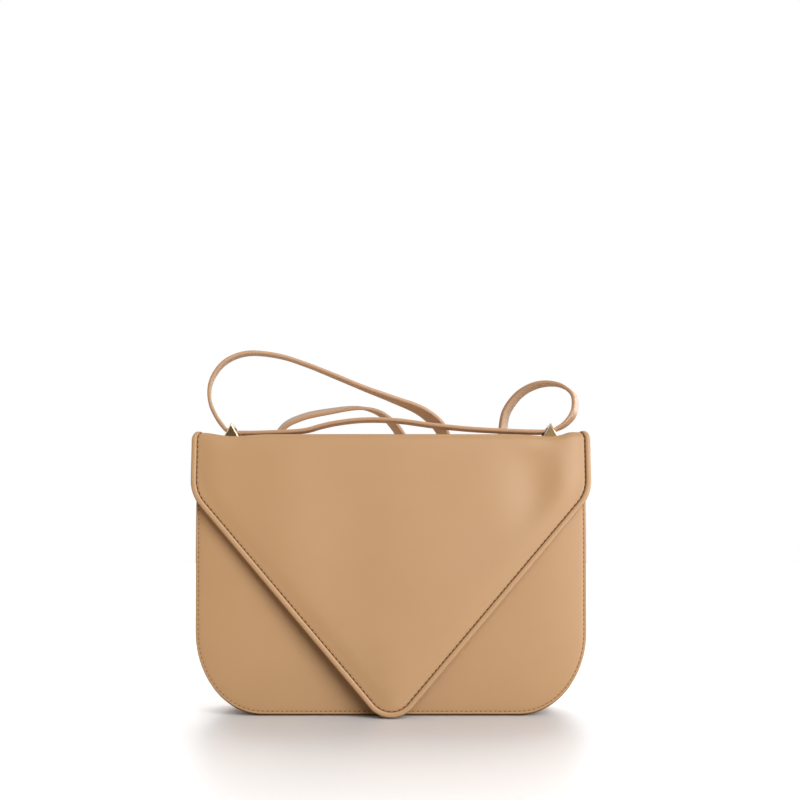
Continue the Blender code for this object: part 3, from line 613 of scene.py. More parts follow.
def sheet_piece(name, outline, borders, fill, place, looks, relief=None):
    """A closed layer of leather over a U-shaped outline.

    The outline is its edge by inset, the number of points down a side, and the height of the hub
    that the rows close in on. The rows run from the middle of the outer face to the edge and back
    to the middle of the inner face. The border rows of both faces are (inset, depth, shade) on the
    outline's parallel curves, and the rest, as many as the fill says, lie between the last border
    row and the spine, closer together near the border. The relief lifts the outer face.
    """
    edge, sides, hub = outline
    outer, inner = borders
    closer = (np.arange(1, fill + 1) / fill) ** 1.25
    points = []
    shades = []

    def add(border, share, lifted):
        inset, depth, shade = border
        flat = edge(inset)
        if share > 0.0:
            flat = flat * (1.0 - share) + spine_of(flat, sides, hub) * share
        depth = np.full(len(flat), depth)
        if lifted and relief is not None:
            depth = depth - relief(flat[:, 0], flat[:, 1])
        points.append(place(flat[:, 0], flat[:, 1], depth))
        shades.append(np.full(len(flat), shade))

    for share in closer[::-1]:
        add(outer[-1], share, True)
    for border in outer[::-1]:
        add(border, 0.0, True)
    for border in inner:
        add(border, 0.0, False)
    for share in closer[::3] if fill % 3 == 1 else closer:
        add(inner[-1], share, False)
    points = np.stack(points)
    rows, columns = points.shape[:2]
    faces = grid_faces(rows, columns)
    faces.append([r * columns for r in range(rows)])
    faces.append([r * columns + columns - 1 for r in range(rows)])
    return make_piece(name, points, faces, looks, {"shade": np.stack(shades)})


def edge_rows(thick, round_off, start=0.0, shade=0.55):
    """Border rows that round a sheet's edge: those of the outer face and those of the inner."""
    turn = np.radians([0.0, 30.0, 60.0, 90.0])
    inset = start + round_off * (1.0 - np.cos(turn))
    rise = round_off * (1.0 - np.sin(turn))
    tint = [shade, shade, shade * 0.5, 0.0]
    return list(zip(inset, rise, tint)), list(zip(inset, thick - rise, tint))


def distances(path):
    """How far along a path each of its points lies."""
    return np.concatenate([[0.0], np.cumsum(np.linalg.norm(np.diff(path, axis=0), axis=1))])


# Sides of a stitch's section
THREAD_SIDES = 6


def stitch_points(path, normals, pitch, radius):
    """Rounded stitches at even steps along a path, and between them flat dark beads that paint the shade
    of the needle holes.

    Each is a short rounded bar along the path that sinks towards both its ends.
    """
    along = np.gradient(path, axis=0)
    travelled = distances(path)
    count = max(2, int(round(travelled[-1] / pitch)))
    step = travelled[-1] / count
    u = np.array([-1.0, -0.88, -0.45, 0.45, 0.88, 1.0])
    shape = np.array([0.0, 0.62, 1.0, 1.0, 0.62, 0.0])
    turn = np.arange(THREAD_SIDES) * 2.0 * math.pi / THREAD_SIDES
    made = []
    # Stitches, then needle holes as flat beads of painted shade: place in the step, share of it, width,
    # height and how deep they sink
    kinds = ((0.5, 0.68, 1.0, 1.0, 1.5), (0.0, 0.30, 1.15, 0.45, 0.3))
    for phase, share, width, height, sink in kinds:
        at = (np.arange(count) + phase) * step

        def here(values):
            return np.stack([np.interp(at, travelled, column) for column in values.T], 1)

        centre = here(path)
        run = unit(here(along))
        up = here(normals)
        up = unit(up - run * np.sum(up * run, 1, keepdims=True))
        across = np.cross(run, up)
        spot = centre[:, None, None] + run[:, None, None] * (u * step * share / 2.0)[None, :, None, None]
        spot = spot - up[:, None, None] * (radius * sink * u**4)[None, :, None, None]
        ring = across[:, None, None] * (width * np.cos(turn))[None, None, :, None]
        ring = ring + up[:, None, None] * (height * np.sin(turn))[None, None, :, None]
        made.append(spot + ring * (radius * shape)[None, :, None, None])
    return made


def stitch_piece(name, place, line, depth, pitch, share):
    """Stitches and needle holes along a line on a placed sheet, at a depth, in one piece; the holes are
    dark beads of painted shade.

    The pitch is the name of its size, and the share is of the thread's radius.
    """
    deep = np.full(len(line), depth)
    path = place(line[:, 0], line[:, 1], deep)
    above = place(line[:, 0], line[:, 1], deep - 1.0)
    runs = stitch_points(path, above - path, size(pitch), size("thread") * share)
    faces = []
    kinds = []
    start = 0
    for kind, run in enumerate(runs):
        count, rows, sides = run.shape[:3]
        one = np.array(grid_faces(rows, sides, wrap=True))
        every = one[None] + (np.arange(count) * rows * sides)[:, None, None] + start
        faces += every.reshape(-1, 4).tolist()
        kinds += [kind] * (count * len(one))
        start += count * rows * sides
    points = np.concatenate([run.reshape(-1, 3) for run in runs])
    return make_piece(name, points, faces, ["thread", "hole"], None, kinds)


def wall_y(side, z, inward):
    """Y of a layer of the front (side -1) or back (side 1) wall, inward of its outer face."""
    return side * (BASE_DEPTH / 2.0 - z * math.tan(WALL_LEAN) - inward / math.cos(WALL_LEAN))


def widened(x, z):
    """The body grows a little wider towards its top."""
    return x * (1.0 + 0.008 * smooth((z - 20.0) / 110.0))


def on_wall(side):
    """Places a wall's flat X and height at a depth inward of the wall's outer face."""

    def place(x, z, depth):
        return np.stack([widened(x, z), wall_y(side, z, depth), z], -1)

    return place


def deeper(place, start):
    """The same placing, with its depth counted from a layer further in."""

    def placed(x, z, depth):
        return place(x, z, start + depth)

    return placed


def body_edge(top, foot, start, steps):
    """The body's outline seen from the front, by its inset from a start."""

    def edge(inset):
        return u_outline(BODY_WIDTH / 2.0, top, foot, CORNER_WIDTH, CORNER_HEIGHT, start + inset, steps)

    return edge


def wall_swell(x, z):
    """The walls' soft crown: nothing at the edge, full from about 25 mm inside it."""
    across = np.maximum(CORNER_WIDTH - (BODY_WIDTH / 2.0 - np.abs(x)), 0.0) / CORNER_WIDTH
    low = np.maximum(CORNER_HEIGHT - (z - PANEL_FOOT), 0.0) / CORNER_HEIGHT
    inside = np.clip(1.0 - np.sqrt(across**2 + low**2), 0.0, 1.0)
    crown = size("wall_crown") * (1.0 - np.exp(-((inside * 2.6) ** 2)))
    return crown + 0.55 * (1.0 - np.exp(-((inside * 10.0) ** 2)))


# The two walls and their sides in Y, and the height at which the rows of their faces close in
WALLS = (("front", -1), ("back", 1))
WALL_HUB = PANEL_FOOT + 0.7 * CORNER_HEIGHT


def make_walls():
    """Front and back walls: rounded painted edge, a stitch groove darkened with painted shade, and a soft
    crown.
    """
    steps = (30, 22, 34)
    seam_inset = 1.8
    edge = body_edge(PANEL_TOP, PANEL_FOOT, 0.0, steps)
    outer, inner = edge_rows(PANEL_THICK, 0.55)
    # The stitch groove: a shallow dip, with its shade painted into the leather's colour
    outer += [(1.2, 0.0, 0.0), (1.5, 0.05, 0.1), (seam_inset, 0.18, 0.3), (2.1, 0.05, 0.1)]
    outer += [(2.4, 0.0, 0.0), (4.0, 0.0, 0.0)]
    for word, side in WALLS:
        place = on_wall(side)
        wall = sheet_piece(
            word + "_wall", (edge, steps[0], WALL_HUB), (outer, inner),
            fill=16, place=place, looks="calf", relief=wall_swell,
        )
        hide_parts(word + "_panel")
        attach(wall, "bag_body")
        line = edge(seam_inset)
        thread = stitch_piece(word + "_wall_stitches", place, line, -0.06, "wall_pitch", 0.9)
        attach(thread, "bag_body")


def slab_piece(name, outer, inner, looks, masks=None):
    """The closed solid between two equal grids of points."""
    rows, columns = outer.shape[:2]
    number = np.arange(rows * columns).reshape(rows, columns)
    rim = np.concatenate([number[0], number[1:, -1], number[-1, -2::-1], number[-2:0:-1, 0]])
    following = np.roll(rim, -1)
    faces = grid_faces(rows, columns)
    faces += (np.array(faces) + rows * columns).tolist()
    faces += np.stack([rim, following, following + rows * columns, rim + rows * columns], 1).tolist()
    return make_piece(name, np.stack([outer, inner]), faces, looks, masks)


def gusset_band(profile, top, thick):
    """Outer and inner points of a band round the sides and base.

    The profile lists (inset, inward, share across) from the front wall to the back one. The
    band bows inwards between the walls, more towards its top.
    """
    bow = size("gusset_bow")
    faces = []
    for shift in (0.0, thick):
        lines = []
        for inset, inward, share in profile:
            x, z = body_edge(top, 0.0, inset, (26, 20, 20))(shift).T
            lift = bow * math.sin(math.pi * share) ** 1.5 * smooth((z - 45.0) / 90.0)
            x = widened(x, z) - np.sign(x) * lift
            deep = inward + shift if share in (0.0, 1.0) else inward
            front = wall_y(-1, z, deep)
            back = wall_y(1, z, deep)
            lines.append(np.stack([x, front + (back - front) * share, z], -1))
        faces.append(np.stack(lines))
    return faces


def flat_cut(outline):
    """Width, height and area of a piece cut from flat leather, in metres and square metres."""
    x, z = outline.T * MM
    area = 0.5 * abs(float(np.sum(x * np.roll(z, -1) - z * np.roll(x, -1))))
    return (float(np.ptp(x)), float(np.ptp(z))), area


def flat_band(points):
    """Width, length and area of a curved grid of points laid flat, in metres and square metres."""
    across = np.linalg.norm(np.diff(points, axis=0), axis=2).sum(0)
    along = np.linalg.norm(np.diff(points, axis=1), axis=2).sum(1)
    first = points[1:, 1:] - points[:-1, :-1]
    second = points[1:, :-1] - points[:-1, 1:]
    area = 0.5 * float(np.linalg.norm(np.cross(first, second), axis=2).sum())
    return (float(across.max()) * MM, float(along.max()) * MM), area * MM * MM


def make_gusset():
    """The band that joins the walls, turned in along both of them, and its lining."""
    turn = 1.6
    front = [(FLANGE_WIDTH, LAYER_TWO, 0.0), (4.0, LAYER_TWO, 0.0), (turn, LAYER_TWO, 0.0)]
    front += [(turn * 0.3, LAYER_TWO + turn * 0.3, 0.0), (0.0, LAYER_TWO + turn, 0.0)]
    middle = [(0.0, LAYER_TWO + turn, share) for share in np.linspace(0.0, 1.0, 13)[1:-1]]
    back = [(inset, inward, 1.0) for inset, inward, _ in front[::-1]]
    profile = front + middle + back
    outer, inner = gusset_band(profile, GUSSET_TOP, GUSSET_THICK)
    flange = np.array([[float(share in (0.0, 1.0))] for _, _, share in profile])
    # Edge paint on the turned flanges, and painted shade darkening the base and the band's lowest 3 mm
    # under the bag
    flange_paint_and_foot_shade = np.maximum(flange * 0.5, (1.0 - smooth(outer[..., 2] / 3.0)) * 0.9)
    shade = {"shade": np.stack([flange_paint_and_foot_shade, flange_paint_and_foot_shade])}
    band = slab_piece("gusset_leather", outer, inner, "calf", shade)
    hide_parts("gusset")
    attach(band, "bag_body")

    raised = GUSSET_THICK + GAP
    profile = [(raised, LAYER_FOUR, float(share)) for share in np.linspace(0.0, 1.0, 13)]
    outer, inner = gusset_band(profile, GUSSET_TOP - 1.0, LINING_THICK)
    lift = (BASE_BOARD_THICK + GAP) * smooth((30.0 - outer[..., 2]) / 30.0)
    outer[..., 2] += lift
    inner[..., 2] += lift
    skin = slab_piece("gusset_suede", outer, inner, "suede")
    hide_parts("gusset_lining")
    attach(skin, "bag_body")
    flat, area = flat_band(outer)


def make_linings():
    """Suede linings and leather facings on the walls' inner side, and the slip pocket."""
    start = GUSSET_THICK + GAP
    steps = (20, 16, 20)
    lining_edge = body_edge(FACING_FOOT - GAP, PANEL_FOOT, start, steps)

    facing_steps = (10, 5, 40)
    facing_corner = 2.5

    def facing_edge(inset):
        half = BODY_WIDTH / 2.0 - start
        top = PANEL_TOP - 0.5
        return u_outline(half, top, FACING_FOOT, facing_corner, facing_corner, inset, facing_steps)

    for word, side in WALLS:
        place = deeper(on_wall(side), LAYER_THREE)
        skin = sheet_piece(
            word + "_suede", (lining_edge, steps[0], WALL_HUB), edge_rows(LINING_THICK, 0.2, shade=0.0),
            fill=7, place=place, looks="suede",
        )
        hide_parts(word + "_lining")
        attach(skin, "bag_body")
        flat, area = flat_cut(lining_edge(0.0))

        outline = (facing_edge, facing_steps[0], FACING_FOOT + 1.8)
        facing = sheet_piece(
            word + "_facing_leather", outline, edge_rows(FACING_THICK, 0.35),
            fill=4, place=place, looks="calf",
        )
        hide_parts(word + "_facing")
        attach(facing, "bag_body")
        line = facing_edge(1.8)[8:-8]
        deep = FACING_THICK - 0.08
        thread = stitch_piece(word + "_facing_stitches", place, line, deep, "wall_pitch", 0.8)
        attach(thread, "bag_body")
    make_pocket()


def make_pocket():
    """The slip pocket: a patch sewn on the back lining, with a sagging top edge."""
    start = LAYER_THREE + LINING_THICK + GAP
    steps = (16, 8, 24)
    corner = 6.0

    def edge(inset):
        top = POCKET_FOOT + POCKET_HEIGHT
        return u_outline(POCKET_WIDTH / 2.0, top, POCKET_FOOT, corner, corner, inset, steps)

    def place(x, z, depth):
        return on_wall(1)(x, z, start + POCKET_THICK - depth)

    def sag(x, z):
        high = smooth((z - POCKET_FOOT) / POCKET_HEIGHT)
        return 0.5 * high * np.cos(np.clip(x / POCKET_WIDTH, -0.5, 0.5) * math.pi) ** 2

    pocket = sheet_piece(
        "slip_pocket_suede", (edge, steps[0], POCKET_FOOT + 4.2), edge_rows(POCKET_THICK, 0.3, shade=0.2),
        fill=7, place=place, looks="suede", relief=sag,
    )
    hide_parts("slip_pocket")
    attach(pocket, "bag_body")
    flat, area = flat_cut(edge(0.0))
    thread = stitch_piece("slip_pocket_stitches", place, edge(2.0), 0.05, "wall_pitch", 0.8)
    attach(thread, "bag_body")


def top_profile(x):
    """The flap's top over its straight line: lower at the rings, and highest at the corners."""
    level = 0.75
    dip_x, dip_reach = 102.0, 12.0
    corner_x, right_reach, left_reach, left_share = 110.0, 8.0, 14.0, 0.75
    far = np.abs(x)
    dip = size("ring_dip") * np.exp(-(((far - dip_x) / dip_reach) ** 2))
    right = smooth((far - corner_x) / right_reach)
    left = left_share * smooth((far - corner_x) / left_reach)
    return level - dip + size("corner_rise") * np.where(x > 0.0, right, left)


def top_rise(x):
    """The part of the top's profile that lifts the whole flap."""
    profile = top_profile(x)
    return (profile + np.sqrt(profile**2 + 0.04)) / 2.0


def near_top(v):
    """1 on the top strip, falling to 0 at 15 mm down the slope."""
    return 1.0 - smooth(v / 15.0)


def drawn_in(v):
    """How far the flap's sides are drawn in where the roll goes over the ridge."""
    return TOP_DRAWN_IN * (1.0 - smooth((v + 1.5) / 8.5))


def over_ridge(side, lean):
    """Places flat leather: level on top, over a ridge by an arc, then down a slope.

    The second coordinate is the distance from the ridge's seam, less than 0 on the top strip.
    """

    def place(x, v, depth):
        turn = math.pi / 2.0 - lean
        angle = np.clip(v / BEND_RADIUS, 0.0, turn)
        run = np.maximum(v - BEND_RADIUS * turn, 0.0)
        radius = BEND_RADIUS - depth
        y = SEAM_Y + np.minimum(v, 0.0) + radius * np.sin(angle) + run * math.sin(lean)
        z = FLAP_TOP - BEND_RADIUS + radius * np.cos(angle) - run * math.cos(lean)
        z = z + top_rise(x) * near_top(v)
        return np.stack([x + 0.0 * y, side * y, z], -1)

    return place


on_flap_front = over_ridge(-1, FLAP_LEAN)
on_flap_back = over_ridge(1, WALL_LEAN)

# Rows of points down the flap's straight side (top strip, bend and below it), and how far down the
# rows of its faces close in on the middle
FLAP_STEPS = (6, 13, 9)
FLAP_HUB = 80.0


def flap_edge(inset):
    """The flap's front outline in the flat, as a U from the middle of the top, with an inset.

    Each side runs straight, turns by an arc into a slanting edge, and the two slanting edges
    meet in the rounded tip. An inset gives the exact parallel curve.
    """
    half = FLAP_WIDTH / 2.0 - inset
    corner = FLAP_CORNER_RADIUS - inset
    tip = TIP_RADIUS - inset
    point = FLAP_LENGTH - inset + tip * (1.0 / math.cos(EDGE_ANGLE) - 1.0)
    turn = math.pi / 2.0 - EDGE_ANGLE
    start = point - half * math.tan(EDGE_ANGLE) - corner * math.tan(turn / 2.0)
    swing = np.linspace(0.0, turn, 14)
    corner_x = half - corner + corner * np.cos(swing)
    corner_v = start + corner * np.sin(swing)
    sweep = np.linspace(turn, math.pi / 2.0, 18)
    tip_x = tip * np.cos(sweep)
    tip_v = FLAP_LENGTH - inset - tip + tip * np.sin(sweep)
    slant = np.linspace(0.0, 1.0, 46)[1:-1]
    top, bend, low = FLAP_STEPS
    side_v = np.concatenate([
        np.linspace(-SEAM_Y, 0.0, top, endpoint=False),
        np.linspace(0.0, FLAP_BEND, bend, endpoint=False),
        np.linspace(FLAP_BEND, start, low, endpoint=False),
    ])
    x = np.concatenate(
        [np.full(len(side_v), half), corner_x, corner_x[-1] + (tip_x[0] - corner_x[-1]) * slant, tip_x]
    )
    v = np.concatenate([side_v, corner_v, corner_v[-1] + (tip_v[0] - corner_v[-1]) * slant, tip_v])
    return mirrored(np.stack([drawn_in(v) * x / (half + inset) - x, v], 1))


# Slow waves of the flap's front: place across and down in mm, reach across and down, share of
# the height
FLAP_WAVES = (
    (-70.0, 52.0, 22.0, 60.0, 0.9),
    (-28.0, 60.0, 20.0, 50.0, -0.7),
    (18.0, 90.0, 34.0, 60.0, 0.6),
    (93.0, 38.0, 15.0, 26.0, -1.9),
    (113.0, 34.0, 9.0, 24.0, 0.9),
    (60.0, 30.0, 22.0, 30.0, 0.5),
    (0.0, 150.0, 16.0, 26.0, 0.5),
)


def ridge_dip(x, v):
    """Lets the outer leather follow the dips at the rings."""
    return (top_profile(x) - top_rise(x)) * near_top(v)


def flap_swell(x, v):
    """Padding that rises from the stitch groove, and the slow waves of a board-backed flap."""
    point = FLAP_LENGTH + TIP_RADIUS * (1.0 / math.cos(EDGE_ANGLE) - 1.0)
    near = 0.0
    for sign in (-1.0, 1.0):
        side = FLAP_WIDTH / 2.0 - sign * x
        slant = (point - sign * x * math.tan(EDGE_ANGLE) - v) * math.cos(EDGE_ANGLE)
        near = near + np.exp(-side / 4.0) + np.exp(-slant / 4.0)
    inside = np.maximum(-4.0 * np.log(near) - ROLL_WIDTH, 0.0)
    pad = size("flap_pad") * (1.0 - np.exp(-((inside / 7.0) ** 2)))
    wave = 0.0
    for across, down, reach_x, reach_v, share in FLAP_WAVES:
        wave = wave + share * np.exp(-(((x - across) / reach_x) ** 2) - ((v - down) / reach_v) ** 2)
    settled = smooth(inside / 25.0) * smooth((v - 2.0) / 20.0)
    return pad * smooth((v + 4.0) / 16.0) + size("flap_wave") * wave * settled + ridge_dip(x, v)


# Rows of points down the side of the flap's back half
BACK_ROWS = 30


def back_half(v):
    """Half the flap's width behind: as in front on the ridge, drawn in to the body's below."""
    spare = (FLAP_WIDTH - BODY_WIDTH - 2.0 * TOP_DRAWN_IN) / 2.0
    return FLAP_WIDTH / 2.0 - TOP_DRAWN_IN - spare * smooth(v / 14.0)


def end_width(v):
    """Width of the roll's end behind the ridge, where it runs out."""
    return ROLL_WIDTH * (1.0 - 0.85 * smooth((v - 1.0) / (BACK_BEND + 10.0)))


def back_edge(inset):
    """The flap's back outline in the flat: full width on top, drawn in to the body's width below."""
    end = BACK_BEND + TAIL_LENGTH
    corner = 7.0
    outline = u_outline(1.0, -SEAM_Y, end, 0.05, corner, 0.0, (BACK_ROWS, 8, 30))
    v = outline[:, 1]
    half = back_half(v) - (end_width(v) - 0.1) * (1.0 - smooth((v - BACK_BEND - 4.0) / 7.0))
    near = np.clip((v - (end - corner)) / corner, 0.0, 1.0)
    x = half - corner * (1.0 - np.sqrt(np.maximum(1.0 - near**2, 0.0)))
    share = np.abs(outline[:, 0])
    flat = share < 0.95
    x = np.where(flat, (half - corner) * share / 0.95, x)
    x = np.sign(outline[:, 0]) * (x - np.where(flat, 0.0, inset))
    return np.stack([x, np.minimum(v, end - inset)], 1)


def tail_depth(v):
    """How deep the tail's outer face lies, where its leather is pared towards its end."""
    return (FLAP_THICK - TAIL_EDGE) * np.clip((v - BACK_BEND) / TAIL_LENGTH, 0.0, 1.0)


def on_tail(x, v, depth):
    """Places the flap's back leather, with the pared tail."""
    return on_flap_back(x, v, np.minimum(depth + tail_depth(v), FLAP_THICK))


def roll_section():
    """Insets and depths round the edge roll's section, a soft rounded rectangle."""
    proud = size("roll_proud")
    turn = np.linspace(0.0, 2.0 * math.pi, 20, endpoint=False)
    power = 2.0 / 3.6
    across = np.sign(np.cos(turn)) * np.abs(np.cos(turn)) ** power
    lift = np.sign(np.sin(turn)) * np.abs(np.sin(turn)) ** power
    inset = ROLL_WIDTH / 2.0 * (1.0 - across)
    depth = (FLAP_THICK - proud) / 2.0 - (FLAP_THICK + proud) / 2.0 * lift
    return inset, depth


def roll_piece(name, points, insets, node):
    """A run of the edge roll, its flank darkened with painted shade where it meets the leather beside it.
    """
    # Painted shade on the roll's inner flank, from 3.1 mm in, fading in over 0.6 mm
    crease_shade, unshaded_width, fade = 0.75, 3.1, 0.6
    edge_paint_and_painted_shade = np.broadcast_to(crease_shade * smooth((insets - unshaded_width) / fade)[None, :], points.shape[:2])
    roll = tube_piece(name, points, "roll", {"shade": edge_paint_and_painted_shade})
    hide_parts(node)
    return roll


def flap_layers(half, outline, start_inset, fill, place, depths):
    """Board and lining under one half of the flap's leather, each from a depth with a thickness."""
    nodes = {"front": ("flap_board", "flap_lining"), "back": ("top_board", "top_lining")}
    made = []
    for look, node, (start, thick) in zip(("board", "suede"), nodes[half], depths):
        borders = edge_rows(thick, 0.15, start_inset, shade=0.0)
        made.append(sheet_piece(f"flap_{half}_{look}", outline, borders, fill, deeper(place, start), look))
        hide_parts(node)
    return made


def make_flap():
    """The flap in two halves that meet under the strap: front with the point, back with the tail."""
    outline = (flap_edge, sum(FLAP_STEPS), FLAP_HUB)
    rim = ROLL_WIDTH + GAP / 2.0
    # From the groove beside the roll up to the face: inset past the rim, depth, and painted shade that
    # darkens the groove
    rise = ((0.0, 0.90, 0.9), (0.05, 0.66, 0.6), (0.18, 0.42, 0.3), (0.4, 0.24, 0.1), (0.75, 0.10, 0.0))
    outer = [(rim + more, depth, shade) for more, depth, shade in rise]
    outer += [(rim + 1.4, 0.0, 0.0), (rim + 2.6, 0.0, 0.0), (rim + 4.4, 0.0, 0.0)]
    # Where the leather dives under the roll it is darkened fully, as painted shade
    inner = [(rim - 0.7, 1.15, 1.0), (rim - 0.7, FLAP_LEATHER, 1.0), (rim + 0.3, FLAP_LEATHER, 0.0)]
    leather = sheet_piece(
        "flap_front_leather", outline, (outer, inner),
        fill=37, place=on_flap_front, looks="calf", relief=flap_swell,
    )
    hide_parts("flap_panel")

    covered = ROLL_WIDTH - 1.0
    depths = ((FLAP_LEATHER + GAP, FLAP_BOARD), (FLAP_THICK - LINING_THICK, LINING_THICK))
    layers = flap_layers("front", outline, covered, fill=12, place=on_flap_front, depths=depths)
    flat, area = flat_cut(flap_edge(covered))

    insets, depths = roll_section()
    lines = [flap_edge(inset) for inset in insets]
    ring = [on_flap_front(*line.T, np.full(len(line), depth)) for line, depth in zip(lines, depths)]
    roll = roll_piece("flap_front_roll", np.stack(ring, 1), insets, "flap_edge_roll")

    line = flap_edge(ROLL_WIDTH + 0.42)
    stitches = stitch_piece("flap_front_stitches", on_flap_front, line, 0.24, "flap_pitch", 1.0)
    for piece in (leather, *layers, roll, stitches):
        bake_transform(piece)
    make_flap_back()


def make_flap_back():
    """The back half of the top strip with the tail, its lining and board, and the ends of the roll."""
    seam_inset = 2.6
    outer, inner = edge_rows(TAIL_EDGE, 0.4)
    # The stitch groove behind: a shallow dip darkened with painted shade
    outer += [(2.2, 0.0, 0.0), (seam_inset, 0.12, 0.5), (3.0, 0.0, 0.0)]
    leather = sheet_piece(
        "flap_back_leather", (back_edge, BACK_ROWS, BACK_BEND + TAIL_LENGTH - 4.0), (outer, inner),
        fill=22, place=on_tail, looks="calf", relief=ridge_dip,
    )
    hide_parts("flap_tail", "top_panel")
    pieces = [leather]

    half = FLAP_WIDTH / 2.0 - TOP_DRAWN_IN - ROLL_WIDTH + 0.8
    foot = 1.5
    corner = 1.0
    steps = (12, 4, 40)

    def strip_edge(inset):
        return u_outline(half, -SEAM_Y, foot, corner, corner, inset, steps)

    outline = (strip_edge, steps[0], 0.9)
    depths = ((FLAP_LEATHER + GAP + 0.2, FLAP_BOARD - 0.2), (FLAP_THICK - LINING_THICK, LINING_THICK))
    pieces += flap_layers("back", outline, 0.0, fill=4, place=on_flap_back, depths=depths)
    flat = (2.0 * half * MM, (SEAM_Y + foot) * MM)

    v = np.concatenate([np.linspace(-SEAM_Y, 0.0, 6)[:-1], np.linspace(0.0, BACK_BEND + 11.0, 22)])
    fade = smooth((v - 1.0) / (BACK_BEND + 10.0))
    insets, depths = roll_section()
    middle = 1.9
    across = insets[None, :] / ROLL_WIDTH * end_width(v)[:, None]
    deep = middle + (depths[None, :] - middle) * (1.0 - 0.8 * fade[:, None])
    for word, side in (("left", -1), ("right", 1)):
        x = side * (back_half(v)[:, None] - across)
        points = on_flap_back(x, np.repeat(v[:, None], len(insets), 1), deep)
        pieces.append(roll_piece(word + "_back_roll", points, insets, word + "_top_roll"))

    line = back_edge(seam_inset)
    line = line[line[:, 1] > -SEAM_Y + 1.0]
    pieces.append(stitch_piece("flap_back_stitches", on_tail, line, 0.0, "wall_pitch", 0.9))
    for piece in pieces:
        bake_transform(piece)


def ring_piece(name, x):
    """A stirrup ring: two three-sided plates, a floor and a crown, with chamfered faces.

    A six-sided section runs round the four-sided frame in Y and Z. Its half width follows the
    height, from the foot's to nearly nothing at the apex.
    """
    low, high = RING_LOW[2] - RING_FOOT_DROP, RING_HIGH[2]
    half = (high - low) / math.sqrt(3.0)
    inner_low = RING_LOW[2] + RING_FLOOR
    inner_high = high - RING_CROWN
    inner_knee_share, rim_share = 0.8, 0.45
    knee = high - (high - low) * (RING_CHAMFER + RING_APEX) / half
    inner_knee = inner_low + (inner_high - inner_low) * inner_knee_share

    def frame_of(reach, foot, bend, top):
        """Y and Z round the frame, from its left foot over the top to its right foot."""
        rise = [(-reach, foot), (-reach, bend), (-reach, top)]
        return np.array(rise + [(-y, z) for y, z in rise[::-1]])

    outer = frame_of(RING_HIGH[1], low, knee, high)
    inner = frame_of(RING_HIGH[1] - RING_WALL, inner_low, inner_knee, inner_high)
    corner = outer + (inner - outer) * np.array([rim_share, 0.0])

    def width(line):
        return np.maximum(half * (high - line[:, 1]) / (high - low), RING_APEX)

    face = width(outer) - np.minimum(RING_CHAMFER, width(outer) - RING_APEX * 0.5)
    section = [(outer, -face), (outer, face), (corner, width(corner))]
    section += [(inner, width(inner)), (inner, -width(inner)), (corner, -width(corner))]
    points = np.stack([np.stack([x + w, *line.T], -1) for line, w in section], 1)
    rows, sides = points.shape[:2]
    faces = (np.array(grid_faces(rows + 1, sides, wrap=True)) % (rows * sides)).tolist()
    # Dark bronze on the outer and inner walls, polished on chamfers and sides: partly wear, partly painted
    # shade and painted highlight
    kinds = np.tile([0, 1, 1, 0, 1, 1], rows)
    made = make_piece(name, points, faces, ["bronze", "polished"], None, kinds)
    settle(
        made.modifiers.new("soft edges", "BEVEL"), width=0.00016, segments=2,
        harden_normals=True, limit_method="ANGLE", angle_limit=math.radians(20.0),
    )
    return made


def make_rings():
    """Both stirrup rings."""
    for word, x in (("left", -RING_X), ("right", RING_X)):
        ring = ring_piece(word + "_stirrup", x)
        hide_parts(word + "_ring")
        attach(ring, "flap_top")


